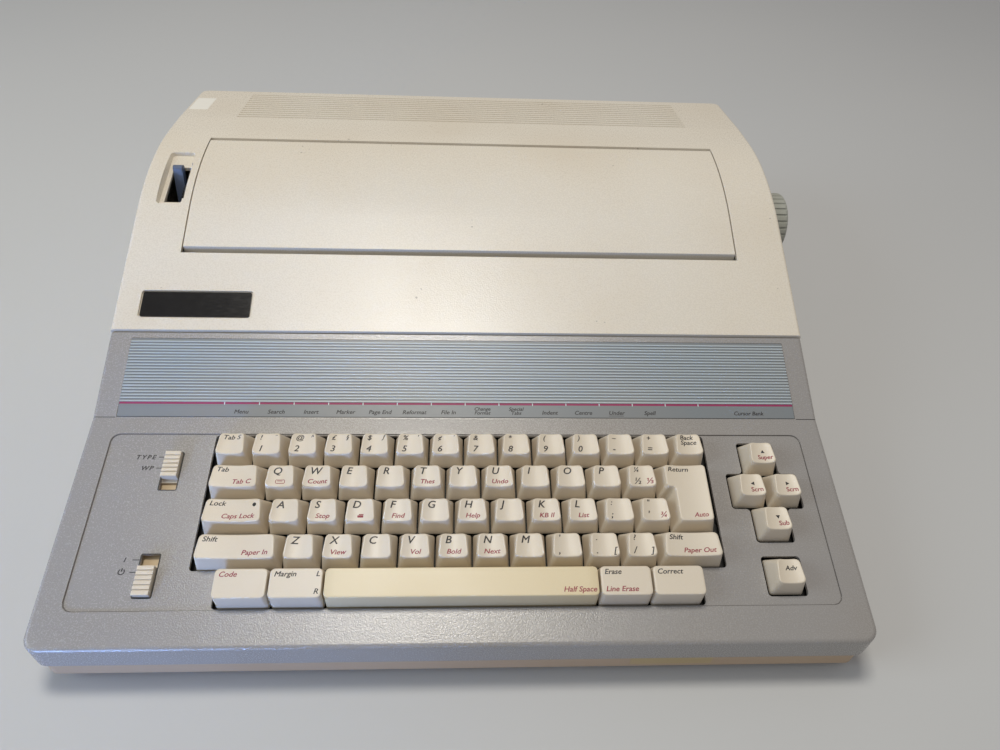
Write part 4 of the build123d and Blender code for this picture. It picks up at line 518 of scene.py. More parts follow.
# %% Gloss black plate
def gloss_black():
    """Gloss black: hairline scratches from noise stretched hard along one way."""
    f = Finish("black_badge")
    scratch = f.noise(0.25, 2.0, 0.6, f.stretched((0.05, 1.0, 1.0)))
    cloud = f.noise(14.0, 3.0)
    toned = f.mix(f.spread(cloud, 0.3, 0.7, 0.0, 1.0), linear(14, 14, 15), linear(20, 19, 19))
    roughness = f.spread(scratch, 0.35, 0.7, 0.12, 0.26)
    return f.done(toned, roughness, f.bump(scratch, 0.002, f.edges(0.2)[0]))


dress(gloss_black(), "badge_plate")

# %% [markdown]
# ## Keycaps
# A key is a hollow cap on a square stem. Seen from the side its walls lean in, more at the back than at
# the front, its top is hollowed like the inside of a cylinder, and every edge is softly rounded. One
# profile does it all: it starts at the middle of the inside, runs down the inner wall, round the skirt,
# up the outer wall, over the rounded edge and in to the middle of the top. Each step of the profile is
# a rounded rectangle, so a row of keys is one array of keys x steps x outline points. A bevelled cube
# would be quicker, but its top couldn't be hollowed and widened to the front at the same time.

# %% Sizes of a cap
PITCH = 19.05  # from one key to the next
GAP = 0.8  # between two caps at their skirts
SKIRT = -2.9  # the cap's foot, below the deck's plane
TOP = 11.0  # the cap's top, above the deck's plane
WALL = 1.3
DISH = 1.2  # depth of the hollow
FLARE = 1.3  # a hollowed top is wider by this on each side at its front
EDGE = 0.45  # radius round the top
CHAMFER_WIDE = 0.25
CHAMFER_HIGH = 0.3
CORNER = 1.3  # radius of the upright corners at the skirt
CORNER_GROWTH = 0.9  # how much larger it is at the top
CORNER_LEAST = 0.3
DISHED = (2.9, 2.0, 3.9)  # how far the walls of a hollowed cap lean in: sides, front, back
FLAT = (0.2, 1.4, 2.5)  # the same for a flat cap
print("a cap is", PITCH - GAP, "mm wide at its skirt and", TOP - SKIRT, "mm high")

# %% [markdown]
# ## Where the keys stand
# Typewriter rows are shifted against one another by parts of a key, so the rows are written as widths in
# pitches and added up from the left. The flat bar keys in front have their own widths. The cursor cross
# and the paper advance key have looser wells: their caps are a little narrower and lean to the left.

# %% Cells of the keys
FIRST_S = 19.05  # front of the lowest row, up the deck
KEYS_HALF = 7 * PITCH
FLAT_SPREAD = 1.0144  # the bar keys stand a little wider than their plain cells
LOOSE = 1.1  # the loose caps are narrower by this
LEAN = -0.7  # and their tops lie this far to the left of their feet


def row_cells(row, widths):
    """Cells (left, right, front, back) of a row, counted from the lowest, with widths in pitches."""
    edges = -KEYS_HALF + PITCH * np.concatenate([[0.0], np.cumsum(widths)])
    front = FIRST_S + row * PITCH
    return [(x0, x1, front, front + PITCH) for x0, x1 in zip(edges[:-1], edges[1:])]


def square_cell(x, s):
    """Cell of a square key about its middle."""
    return (x - PITCH / 2, x + PITCH / 2, s - PITCH / 2, s + PITCH / 2)


NUMBERS = row_cells(4, [1] * 14)
UPPERS = row_cells(3, [1.5] + [1] * 11 + [1.5])
HOMES = row_cells(2, [1.75] + [1] * 11 + [1.25])
LOWERS = row_cells(1, [2.25] + [1] * 10 + [1.75])
BAR_WIDTHS = [26.0, 26.0, 132.4, 26.0, 26.0]
BAR_EDGES = -sum(BAR_WIDTHS) / 2 + np.concatenate([[0.0], np.cumsum(BAR_WIDTHS)])
BARS = [(x0, x1, FIRST_S, FIRST_S + PITCH) for x0, x1 in zip(BAR_EDGES[:-1], BAR_EDGES[1:])]
WIDE_BARS = [(x0 * FLAT_SPREAD, x1 * FLAT_SPREAD, s0, s1) for x0, x1, s0, s1 in BARS]
CURSORS = [square_cell(x, s) for x, s in ((165.0, 99.65), (165.0, 61.55), (155.475, 80.6), (174.525, 80.6))]
ADVANCE = square_cell(165.0, 33.3)
LOOSE_CELLS = [(x0, x1 - LOOSE, s0, s1) for x0, x1, s0, s1 in CURSORS + [ADVANCE]]
LOOSE_TOPS = [(x0 + LEAN, x1 + LEAN, s0, s1) for x0, x1, s0, s1 in LOOSE_CELLS]
print("keys in each row:", [len(row) for row in (NUMBERS, UPPERS, HOMES, LOWERS, BARS)])

# %% The cap as one profile
def cap_steps(dished):
    """Steps of the profile: (share of the lean, extra inset, height, share of the hollow, ring size)."""
    ceiling = TOP - WALL - (DISH if dished else 0.0)
    inner = (ceiling - SKIRT) / (TOP - SKIRT)
    steps = [(inner, WALL, ceiling, 0, 0.0), (inner, WALL, ceiling, 0, 1.0), (0, WALL, SKIRT, 0, 1.0)]
    steps += [(0, CHAMFER_WIDE, SKIRT, 0, 1.0), (0, 0.0, SKIRT + CHAMFER_HIGH, 0, 1.0)]
    steps += [(part, 0.0, SKIRT + (TOP - SKIRT) * part, hollow, 1.0)
              for part, hollow in ((0.3, 0.1), (0.7, 0.6))]
    top_share = (TOP - EDGE - SKIRT) / (TOP - SKIRT)
    for turn in np.linspace(0, math.pi / 2, 4):
        steps.append((top_share + (1 - top_share) * math.sin(turn), EDGE * (1 - math.cos(turn)),
                      TOP - EDGE + EDGE * math.sin(turn), 1, 1.0))
    steps += [(1, EDGE, TOP, 1, size) for size in (0.93, 0.8, 0.6, 0.4, 0.2, 0.0)]
    return np.array(steps)


print("steps of the profile:", len(cap_steps(True)))

# %% Many caps at once
def caps(cells, insets, dished, lean=0.0):
    """Caps as an array keys x steps x points x 3. Each step's rectangle is the cell drawn in by the gap,
    the walls' slant and the extra inset, scaled about its middle, which moves sideways by the lean on the
    way up, as the corners grow rounder; a hollowed top grows wider to the front by the flare, in
    proportion to the way forward, and is lowered by a parabola across it."""
    cells = np.array(cells)[:, None, :]
    share, extra, height, hollow, size = cap_steps(dished).T[:, None, :]
    side = GAP / 2 + insets[0] * share + extra
    x0, x1 = cells[..., 0] + side + lean * share, cells[..., 1] - side + lean * share
    s0 = cells[..., 2] + GAP / 2 + insets[1] * share + extra
    s1 = cells[..., 3] - GAP / 2 - insets[2] * share - extra
    half = np.stack([(x1 - x0) / 2, (s1 - s0) / 2], axis=-1) * size[..., None]
    middle = np.stack([(x0 + x1) / 2 + 0 * s0, (s0 + s1) / 2 + 0 * x0], axis=-1)
    corner = np.clip(CORNER + CORNER_GROWTH * share - extra, CORNER_LEAST, None)
    radius = np.minimum(corner * size, half.min(axis=-1))
    flat = rounded_ring(half, radius, middle)
    beside, along = flat[..., 0] - middle[..., 0, None], flat[..., 1] - middle[..., 1, None]
    reach = beside / (half[..., 0, None] / size[..., None].clip(0.1) + 1e-9)
    forward = (1 - along / ((s1 - s0) / 2)[..., None]) / 2
    if dished:
        flat[..., 0] += FLARE * share[..., None] * reach * forward
    drop = (DISH if dished else 0.0) * hollow[..., None] * np.clip(1 - reach**2, 0, 1)
    return np.concatenate([flat, (height[..., None] - drop)[..., None]], axis=-1)


print("number row as an array:", caps(NUMBERS, DISHED, True).shape)

# %% Stems
STEM = 5.0
STEM_FOOT = -12.2
STEM_TOP = TOP - WALL - 0.6
STEM_ASIDE = 38.1  # the two stems of a wide bar stand this far to each side
TWO_STEMS = 76.0  # wider keys have two


def stems(places):
    """Square stems under the caps, four rings each: both ends are drawn in to their middles."""
    x, s = np.array(places).T[:, :, None, None]
    size = np.array([0.0, 1.0, 1.0, 0.0])[None, :, None] * STEM / 2
    sx, ss = size * np.array([1, -1, -1, 1]), size * np.array([1, 1, -1, -1])
    n = np.array([STEM_FOOT, STEM_FOOT, STEM_TOP, STEM_TOP])[None, :, None]
    return np.stack(np.broadcast_arrays(x + sx, s + ss, n), axis=-1)


print("one stem as an array:", stems([(0.0, 0.0)]).shape)

# %% Caps and stems of one key body
def cap_piece(name, blocks, finish, body):
    """The caps of one key body, in place of the plain solid of the same name."""
    made = grids(name, on_deck(blocks), finish, body, ring=True, weld=True)
    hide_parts(body)
    return made


def stem_piece(name, places, finish, body):
    """The stems of one key body at those places."""
    made = grids(name, on_deck(stems(places)), finish, body, ring=True, smooth=False, weld=True)
    return made


def key_node(name, cells, finish, insets=DISHED, dished=True, over=None, lean=0.0):
    """Builds the caps and stems that stand for one node of keys; over gives other cells for the caps."""
    made = cap_piece(name + "_caps", caps(over or cells, insets, dished, lean), finish, name)
    places = []
    for x0, x1, s0, s1 in cells:
        x, s = (x0 + x1) / 2, (s0 + s1) / 2
        places += [(x, s)] if x1 - x0 < TWO_STEMS else [(x - STEM_ASIDE, s), (x + STEM_ASIDE, s)]
    stem_piece(name + "_stems", places, finish, name)
    return made


KEY_NODES = {
    "number_row_keys": NUMBERS, "upper_row_keys": UPPERS[1:12], "home_row_keys": HOMES[1:12],
    "lower_row_keys": LOWERS[1:11], "tab_key": [UPPERS[0]], "lock_key": [HOMES[0]],
    "left_shift_key": [LOWERS[0]], "right_shift_key": [LOWERS[11]],
}
for node_name, node_cells in KEY_NODES.items():
    key_node(node_name, node_cells, IVORY)
key_node("cursor_keys", CURSORS, IVORY, over=LOOSE_CELLS[:4], lean=LEAN)
key_node("paper_advance_key", [ADVANCE], IVORY, over=LOOSE_CELLS[4:], lean=LEAN)
FLAT_NAMES = ("code_key", "margin_key", "space_bar", "word_erase_key", "correct_key")
for node_name, cell, wide_cell in zip(FLAT_NAMES, BARS, WIDE_BARS):
    key_node(node_name, [cell], WARM_BAR if node_name == "space_bar" else IVORY, FLAT, False, [wide_cell])
print("key nodes built:", len(KEY_NODES) + len(BARS) + 2)

# %% [markdown]
# ## The Return key
# The Return key is bent: a wide half beside the letters' upper row and a narrower half beside the row
# below. Its outline has six corners, one of them turned inwards. Each corner carries two signs that say
# which way the two walls meeting there lean, so one list of corners serves every step of the profile.
# Towards the middle the outline is shrunk about a point that sees all of it, so no fold appears.

# %% The bent outline
INNER_CORNER = 3
ARC_POINTS = 5
SIDE_POINTS = 6


def bent_outline(upper, lower, side, front, back, radius):
    """Six-cornered outline drawn in by side, front and back: an arc of that radius at each corner, whose
    middle lies inside where the corner points out and outside where it points in, and points between."""
    right, left, inner = upper[1] - side, upper[0] + side, lower[0] + side
    top, step, foot = upper[3] - back, upper[2] + front, lower[2] + front
    corners = [(right, top, 1, 1, 0), (left, top, -1, 1, 1), (left, step, -1, -1, 2),
               (inner, step, -1, -1, 0), (inner, foot, -1, -1, 2), (right, foot, 1, -1, 3)]
    quarter = np.linspace(0, math.pi / 2, ARC_POINTS)
    arcs = []
    for count, (x, s, way_x, way_s, start) in enumerate(corners):
        inward = count == INNER_CORNER
        angle = (quarter[::-1] if inward else quarter) + start * math.pi / 2
        middle = np.array([x, s]) - np.array([way_x, way_s]) * radius * (-1 if inward else 1)
        arcs.append(middle + radius * np.stack([np.cos(angle), np.sin(angle)], axis=-1))
    share = np.linspace(0, 1, SIDE_POINTS + 2)[1:-1, None]
    parts = []
    for arc, following in zip(arcs, arcs[1:] + arcs[:1]):
        parts += [arc, (1 - share) * arc[-1] + share * following[0]]
    return np.concatenate(parts)


RETURN_UPPER, RETURN_LOWER = UPPERS[12], HOMES[12]
bent_points = bent_outline(RETURN_UPPER, RETURN_LOWER, GAP / 2, GAP / 2, GAP / 2, CORNER)
print("points in the bent outline:", len(bent_points))

# %% The bent cap
BENT_GROWTH = 0.6
BENT_LEAST = 0.4


def bent_cap(upper, lower):
    """The bent cap as steps x points x 3, with the same profile as the square caps: each step's outline
    is shrunk towards the eye, the point that sees all of it, and lowered by a parabola across the wider
    half."""
    eye = np.array([(lower[0] + lower[1]) / 2, (upper[2] + upper[3]) / 2 - 2.0])
    across = (upper[1] - upper[0]) / 2 - GAP / 2 - DISHED[0]
    middle = (upper[0] + upper[1]) / 2
    rings = []
    for share, extra, height, hollow, size in cap_steps(True):
        lean = np.array(DISHED) * share + GAP / 2 + extra
        radius = max(BENT_LEAST, CORNER + BENT_GROWTH * share - extra)
        flat = eye + size * (bent_outline(upper, lower, *lean, radius) - eye)
        drop = DISH * hollow * np.clip(1 - ((flat[:, :1] - middle) / across) ** 2, 0, 1)
        rings.append(np.hstack([flat, height - drop]))
    return np.array(rings)


return_cap = cap_piece("return_key_cap", bent_cap(RETURN_UPPER, RETURN_LOWER)[None], IVORY, "return_key")
return_place = ((RETURN_LOWER[0] + RETURN_LOWER[1]) / 2, RETURN_LOWER[3])
stem_piece("return_key_stem", [return_place], IVORY, "return_key")
print("points of the bent cap:", len(return_cap.data.vertices))

# %% [markdown]
# ## Ink
# The caps are printed in black and in a dark wine red, and the deck in black. Ink is thinner than the
# plastic around it and rubs off first where fingers land, so two noises mix each ink with a worn tone.

# %% Ink finishes
def ink(name, colour, thin):
    """Screen-printed ink: slightly mottled, thinner and greyer where fingers rub it."""
    f = Finish(name)
    mottle = f.noise(0.6, 3.0)
    rub = f.noise(12.0, 2.0)
    toned = f.mix(f.spread(rub, 0.4, 0.7, 0.0, 0.5), colour, thin)
    toned = f.mix(f.spread(mottle, 0.4, 0.7, 0.0, 0.3), toned, thin)
    return f.done(toned, f.spread(mottle, 0.3, 0.7, 0.45, 0.6), f.bump(mottle, 0.005))


BLACK_INK = ink("black_ink", linear(38, 36, 38), linear(66, 62, 62))
RED_INK = ink("wine_ink", linear(140, 42, 58), linear(160, 76, 84))
WINE_PAINT = ink("wine_line_paint", linear(146, 40, 88), linear(156, 58, 100))
PALE_PAINT = ink("pale_tick_paint", linear(216, 222, 228), linear(198, 206, 214))
print("inks and paints made:", len([BLACK_INK, RED_INK, WINE_PAINT, PALE_PAINT]))

# %% [markdown]
# ## Words as arrays
# Ink lies on the plastic as a film that a finger can just feel. Each word is made with Blender's built-in
# type, turned into a mesh, read into an array and bent to the cap's hollow; then all the words of one
# colour on one key body are joined. A picture of the words would be lighter, but it would need its own
# layout for every cap, and as meshes the words stay sharp from close by.

# %% Words as arrays
CAPITAL = 0.682  # height of a capital in the built-in type, for a size of one
FILM = 0.06
LINE_SPACE = 0.82
CURVE_STEPS = 3


def word(text, place, capital, rise=0.0, align="LEFT", slant=0.22, spacing=1.0, bold=0.16, flatten=1.0):
    """Points and triangles of printed words: the built-in type scaled so that its capitals have that
    height, moved to (x, up), thickened to a film, and lifted by rise, a number or a function of points.
    It is struck three times, a little to the side and a little up, which makes it bold by that much."""
    curve = bpy.data.curves.new("type", "FONT")
    curve.body = text
    curve.align_x = align
    curve.shear = slant
    curve.space_character = spacing
    curve.space_line = LINE_SPACE
    curve.resolution_u = CURVE_STEPS
    curve.extrude = FILM / 2 * CAPITAL / capital
    holder = bpy.data.objects.new("type", curve)
    mesh = bpy.data.meshes.new_from_object(holder)
    mesh.calc_loop_triangles()
    points = np.empty(len(mesh.vertices) * 3, dtype=np.float32)
    mesh.vertices.foreach_get("co", points)
    faces = np.empty(len(mesh.loop_triangles) * 3, dtype=np.int32)
    mesh.loop_triangles.foreach_get("vertices", faces)
    bpy.data.objects.remove(holder)
    bpy.data.curves.remove(curve)
    bpy.data.meshes.remove(mesh)
    points = points.reshape(-1, 3).astype(float) * capital / CAPITAL
    points[:, 0] *= flatten
    points[:, :2] += place
    steps = np.array([(0.0, 0.0, 0.0), (bold, 0.0, 0.008), (bold / 2, bold * 0.6, 0.016)])
    starts = np.arange(len(steps)) * len(points)
    struck = (points[None] + steps[:, None]).reshape(-1, 3)
    struck[:, 2] += rise(struck) if callable(rise) else rise
    return struck, (faces.reshape(1, -1, 3) + starts[:, None, None]).reshape(-1, 3)


def printed(name, words, plane, finish, body):
    """Joins printed words into one mesh lying on a plane."""
    starts = np.cumsum([0] + [len(points) for points, _ in words[:-1]])
    points = np.concatenate([points for points, _ in words])
    faces = np.concatenate([triangles + start for (_, triangles), start in zip(words, starts)])
    return make_mesh(name, placed(plane(points)), faces, finish, body, smooth=False, weld=True)


print("triangles of one printed letter:", len(word("R", (0.0, 0.0), 3.8)[1]))

# %% [markdown]
# ## What the keys say
# A cap's main letter stands near the upper left corner of its top, and a red word for its second use
# lies along the front edge. Keys with two signs have them one above the other. These are ordinary
# keyboard legends, so they are written out row by row and placed by rule from the cap's cell.

# %% Places on a cap
def corners_of(cell, insets=DISHED):
    """Left, right, front and back edges of a cap's top."""
    side = GAP / 2 + insets[0]
    return cell[0] + side, cell[1] - side, cell[2] + GAP / 2 + insets[1], cell[3] - GAP / 2 - insets[2]


print("top of a letter key, left, right, front, back:", [round(edge, 2) for edge in corners_of(NUMBERS[1])])


def top_of(cell, flare=FLARE, edge=EDGE):
    """Height of a hollowed cap's top at points (x, up): level, less the same parabola as in the cap, whose
    half width grows to the front by the flare."""
    left, right, front, back = corners_of(cell)
    half_x, half_s = (right - left) / 2 - edge, (back - front) / 2 - edge

    def height(points):
        forward = np.clip((1 - (points[:, 1] - (front + back) / 2) / half_s) / 2, 0, 1)
        reach = (points[:, 0] - (left + right) / 2) / (half_x + flare * forward)
        return TOP - DISH * np.clip(1 - reach**2, 0, 1)

    return height


hollow_middle = np.array([[(NUMBERS[1][0] + NUMBERS[1][1]) / 2, (NUMBERS[1][2] + NUMBERS[1][3]) / 2]])
print("height at the middle of its hollow:", top_of(NUMBERS[1])(hollow_middle))

# %% Letters, signs and words on a cap
LETTER_HIGH = 3.8
DIGIT_HIGH = 3.5
SIGN_HIGH = 2.8
WORD_HIGH = 2.5
SMALL = 2.4
LONG_TOP = 14.0


def main_letter(cell, text):
    """A large letter near the upper left corner."""
    left, right, front, back = corners_of(cell)
    return word(text, (left + 1.8, back - 1.3 - LETTER_HIGH), LETTER_HIGH, top_of(cell), bold=0.2)


def two_signs(cell, upper, lower):
    """Two signs above one another at the left."""
    left, right, front, back = corners_of(cell)
    signs = [word(upper, (left + 1.8, back - 1.1 - SIGN_HIGH), SIGN_HIGH, top_of(cell))]
    return signs + [word(lower, (left + 1.5, front + 1.5), DIGIT_HIGH, top_of(cell))]


def upper_word(cell, text):
    """A small word near the upper left corner."""
    left, right, front, back = corners_of(cell)
    return word(text, (left + 1.4, back - 1.2 - WORD_HIGH), WORD_HIGH, top_of(cell), flatten=1.1)


def front_word(cell, text):
    """A small word along the front edge: in the middle of a short cap, at the right of a long one."""
    left, right, front, back = corners_of(cell)
    long = right - left > LONG_TOP
    place = (right - 2.2, front + 1.9) if long else ((left + right) / 2, front + 1.9)
    return word(text, place, SMALL, top_of(cell), align="RIGHT" if long else "CENTER", flatten=1.1)


black = {name: [] for name in list(KEY_NODES) + ["cursor_keys", "paper_advance_key", "return_key"]}
red = {name: [] for name in black}
print("key bodies with hollowed tops:", len(black))

# %% The number row's signs
SHIFTED = "!@£$%¢&*()\u2013+"
UNSHIFTED = "1234567890-="
ACCENTS = "¨^§ƒ'´"
for cell, upper, lower in zip(NUMBERS[1:13], SHIFTED, UNSHIFTED):
    black["number_row_keys"] += two_signs(cell, upper, lower)
for cell, accent in zip(NUMBERS[1:7], ACCENTS):
    left, right, front, back = corners_of(cell)
    black["number_row_keys"].append(word(accent, (right - 2.9, back - 3.5), 2.3, top_of(cell)))
black["number_row_keys"].append(upper_word(NUMBERS[0], "Tab S"))
left, right, front, back = corners_of(NUMBERS[13])
black["number_row_keys"].append(word("Back\nSpace", (left + 1.6, back - 3.4), 2.6, top_of(NUMBERS[13])))
print("signs on the number row:", len(black["number_row_keys"]))

# %% Letters and their second uses
LETTERS = {"upper_row_keys": (UPPERS[1:11], "QWERTYUIOP"), "home_row_keys": (HOMES[1:10], "ASDFGHJKL"),
           "lower_row_keys": (LOWERS[1:8], "ZXCVBNM")}
SECOND_USES = {"W": "Count", "T": "Thes", "U": "Undo", "S": "Stop", "F": "Find", "H": "Help", "K": "KB II",
               "L": "List", "X": "View", "V": "Vol", "B": "Bold", "N": "Next"}
for name, (cells, letters) in LETTERS.items():
    for cell, letter in zip(cells, letters):
        black[name].append(main_letter(cell, letter))
        if letter in SECOND_USES:
            red[name].append(front_word(cell, SECOND_USES[letter]))
print("letters:", sum(len(black[name]) for name in LETTERS))

# %% Keys with two or three signs
SIGN_KEYS = (("upper_row_keys", UPPERS[11], "¼", "½"), ("home_row_keys", HOMES[10], ":", ";"),
             ("home_row_keys", HOMES[11], '"', "'"), ("lower_row_keys", LOWERS[8], "'", ","),
             ("lower_row_keys", LOWERS[9], ".", "."), ("lower_row_keys", LOWERS[10], "?", "/"))
for name, cell, upper, lower in SIGN_KEYS:
    black[name] += two_signs(cell, upper, lower)
THIRD_SIGNS = (("upper_row_keys", UPPERS[11], "\u2153", red), ("home_row_keys", HOMES[11], "¾", red),
               ("lower_row_keys", LOWERS[9], "[", black), ("lower_row_keys", LOWERS[10], "]", black))
for name, cell, sign, store in THIRD_SIGNS:
    left, right, front, back = corners_of(cell)
    store[name].append(word(sign, (right - 0.6, front + 1.6), 3.0, top_of(cell), align="RIGHT"))
print("keys with signs:", len(SIGN_KEYS))

# %% The wide keys and the bent one
WIDE_KEYS = (("tab_key", UPPERS[0], "Tab", "Tab C"), ("lock_key", HOMES[0], "Lock", "Caps Lock"),
             ("left_shift_key", LOWERS[0], "Shift", "Paper In"),
             ("right_shift_key", LOWERS[11], "Shift", "Paper Out"))
for name, cell, upper, lower in WIDE_KEYS:
    black[name].append(upper_word(cell, upper))
    red[name].append(front_word(cell, lower))
bent_top = top_of(RETURN_UPPER, 0.0, 0.0)
left, right, front, back = corners_of(RETURN_UPPER)
black["return_key"].append(word("Return", (left + 1.4, back - 3.7), WORD_HIGH, bent_top, flatten=1.1))
left, right, front, back = corners_of(RETURN_LOWER)
red["return_key"].append(word("Auto", (right - 2.6, front + 1.9), SMALL, bent_top, align="RIGHT"))
print("wide keys:", len(WIDE_KEYS) + 1)

# %% The cursor keys and the paper key
for cell, arrow, text in zip(LOOSE_TOPS[:4], "\u25b2\u25bc\u25c4\u25ba", ("Super", "Sub", "Scrn", "Scrn")):
    left, right, front, back = corners_of(cell)
    arrow_place = ((left + right) / 2 + 0.6, front + 6.0)
    black["cursor_keys"].append(word(arrow, arrow_place, 1.6, top_of(cell), "CENTER", 0.0, bold=0.05))
    red["cursor_keys"].append(word(text, (right - 0.2, front + 2.2), SMALL, top_of(cell), "RIGHT", 0.0))
left, right, front, back = corners_of(LOOSE_TOPS[4])
advance_word = word("Adv", (right - 2.2, front + 6.6), SMALL, top_of(LOOSE_TOPS[4]), align="RIGHT")
black["paper_advance_key"].append(advance_word)
print("cursor keys:", len(black["cursor_keys"]))

# %% Print the hollowed keys
for name in black:
    for store, tone, finish in ((black, "black", BLACK_INK), (red, "red", RED_INK)):
        if store[name]:
            printed(name + "_legends_" + tone, store[name], on_deck, finish, name)
print("legends on", sum(bool(words) for words in list(black.values()) + list(red.values())), "pieces")

# %% [markdown]
# ## Words on the flat keys
# The bar keys in front have flat tops, so their words need no bending. A small table says which corner
# each word stands in, and one loop turns corners into places.

# %% Legends of the flat keys
FLAT_WORDS = {
    "code_key": (WIDE_BARS[0], (("Code", "left", "back", RED_INK),)),
    "margin_key": (WIDE_BARS[1], (("Margin", "left", "back", BLACK_INK), ("L", "right", "back", BLACK_INK),
                                  ("R", "right", "front", BLACK_INK))),
    "space_bar": (WIDE_BARS[2], (("Half Space", "right", "front", RED_INK),)),
    "word_erase_key": (WIDE_BARS[3], (("Erase", "left", "back", BLACK_INK),
                                      ("Line Erase", "left", "front", RED_INK))),
    "correct_key": (WIDE_BARS[4], (("Correct", "left", "back", BLACK_INK),)),
}
for name, (cell, entries) in FLAT_WORDS.items():
    left, right, front, back = corners_of(cell, FLAT)
    for count, (text, side, end, finish) in enumerate(entries):
        across = left + 1.8 if side == "left" else right - 1.4
        up = back - 4.0 if end == "back" else front + 1.8
        made = word(text, (across, up), WORD_HIGH, TOP, align=side.upper(), flatten=1.06)
        printed(f"{name}_legend_{count}", [made], on_deck, finish, name)
print("flat keys with words:", len(FLAT_WORDS))

# %% [markdown]
# ## Small printed films and stickers
# A line, a tick or a sticker is a thin rounded sheet. It is built as four rings: the middle below, the
# outline below, the outline above and the middle above. The same function makes one sticker or a whole
# row of ticks. Each sheet's underside is sunk a little into the plastic, so that no gap shows under it.

# %% Thin sheets
SUNK = 0.02
SHARP = 0.05  # corner radius of the fine lines


def sheets(half, radius, middle, low, high):
    """Thin rounded sheets, copies x 4 x points x 3: two outlines between two middles, which are welded to
    a closed skin."""
    outline = rounded_ring(half, radius, middle)
    centre = np.broadcast_to(np.array(middle, dtype=float)[..., None, :], outline.shape)
    flat = np.stack([centre, outline, outline, centre], axis=-3)
    height = np.broadcast_to(np.array([low, low, high, high])[:, None, None], flat[..., :1].shape)
    return np.concatenate([flat, height], axis=-1)


def sheet_piece(name, half, radius, middle, level, thick, plane, finish, body="case"):
    """One mesh of thin sheets that stand up from a level of a plane, all with the same radius."""
    count = len(middle)
    halves = np.broadcast_to(np.array(half, dtype=float), (count, 2))
    blocks = plane(sheets(halves, np.full(count, radius), middle, level - SUNK, level + thick))
    return grids(name, blocks, finish, body, ring=True, smooth=False, weld=True)


print("points of one sheet:", sheets(np.ones((1, 2)), np.full(1, 0.2), [(0.0, 0.0)], 0.0, 0.1).shape)

# %% [markdown]
# ## Two small signs
# Two letter keys carry a little picture instead of a word for their second use. Here they are a plain
# framed sign and a plain solid one, made of the same thin sheets. A cap's top is hollowed, so the sheets
# are first laid out flat and then lifted by the height of the hollow at each of their points.

# %% Two small signs on caps
def on_cap(cell):
    """Lays points (x, up, height) on the hollowed top of a cap."""
    rise = top_of(cell)

    def lay(points):
        flat = points.reshape(-1, 3)
        return on_deck((flat + np.outer(rise(flat), [0.0, 0.0, 1.0])).reshape(points.shape))

    return lay


left, right, front, back = corners_of(UPPERS[1])
frame_middle = np.array([(left + right) / 2 + 0.2, front + 3.0])
frame_places = frame_middle + np.array([(0, 0.95), (0, -0.95), (-2.3, 0), (2.3, 0), (-0.2, 0.35)])
frame_halves = np.array([(2.2, 0.16), (2.2, 0.16), (0.16, 0.8), (0.16, 0.8), (1.3, 0.14)])
framed_sign = sheet_piece("framed_sign", frame_halves, 0.12, frame_places, 0.0, 0.05,
                          on_cap(UPPERS[1]), RED_INK, "upper_row_keys")
left, right, front, back = corners_of(HOMES[3])
solid_places = np.array([(left + right) / 2 + 0.2, front + 2.7]) + np.array([(0, 0), (0.35, 1.0)])
solid_sign = sheet_piece("solid_sign", [(1.5, 0.6), (1.2, 0.25)], 0.2, solid_places, 0.0, 0.05,
                         on_cap(HOMES[3]), RED_INK, "home_row_keys")
print("sheets in the two signs:", len(frame_places), len(solid_places))

# %% [markdown]
# ## The wine line and the function names
# Along the strip behind the keyboard runs a thin wine-red line. Pale ticks part it into one stretch for
# each key of the top row, and the name below a stretch says what that key does together with Code. The
# ticks are one array of places, and the stretches are worked out from the same array, so the two can't
# drift apart.

# %% The wine line and its ticks
LINE_UP = 9.0
LINE_HALF = 192.85
TICK_FIRST = -134.6
TICK_PITCH = 19.36
TICK_GAP = 0.7
PLATE_TOP = 0.2
ticks = TICK_FIRST + TICK_PITCH * np.arange(15)
edges = np.concatenate([[-LINE_HALF], ticks, [LINE_HALF]])
middles = (edges[:-1] + edges[1:]) / 2
lengths = (np.diff(edges) - TICK_GAP) / 2
line_places = np.stack([middles, np.full(len(middles), LINE_UP)], axis=-1)
line_halves = np.stack([lengths, np.full(len(lengths), 0.6)], axis=-1)
sheet_piece("wine_line", line_halves, SHARP, line_places, PLATE_TOP, 0.04, on_strip, WINE_PAINT)
tick_places = np.stack([ticks, np.full(len(ticks), LINE_UP)], axis=-1)
sheet_piece("pale_ticks", (0.22, 0.9), SHARP, tick_places, PLATE_TOP, 0.05, on_strip, PALE_PAINT)
print("ticks:", len(ticks), "stretches of the line:", len(lengths))

# %% The function names
NAME_LOW = 6.2
FUNCTIONS = ("Menu", "Search", "Insert", "Marker", "Page End", "Reformat", "File In", "Change\nFormat",
             "Special\nTabs", "Indent", "Centre", "Under", "Spell")
names = []
for count, text in enumerate(FUNCTIONS):
    two = "\n" in text
    place = (ticks[count] + TICK_PITCH / 2, LINE_UP - (3.9 if two else NAME_LOW))
    names.append(word(text, place, 2.0 if two else 2.3, PLATE_TOP, align="CENTER", bold=0.13, flatten=1.05))
names.append(word("Cursor Bank", (165.5, LINE_UP - NAME_LOW), 2.3, PLATE_TOP, align="CENTER", bold=0.13))
printed("function_names", names, on_strip, BLACK_INK, "case")
rule_place = (ticks[11] + TICK_PITCH / 2, LINE_UP - 6.9)
sheet_piece("under_rule", (4.3, 0.12), SHARP, [rule_place], PLATE_TOP, 0.03, on_strip, BLACK_INK)
print("function names:", len(names))

# %% [markdown]
# ## Marks beside the slide switches
# Each slide switch has its two positions printed beside its slot, with a short tick that points at it.
# They lie on the sunk field of the deck, so they use the deck's own plane and that field's level.

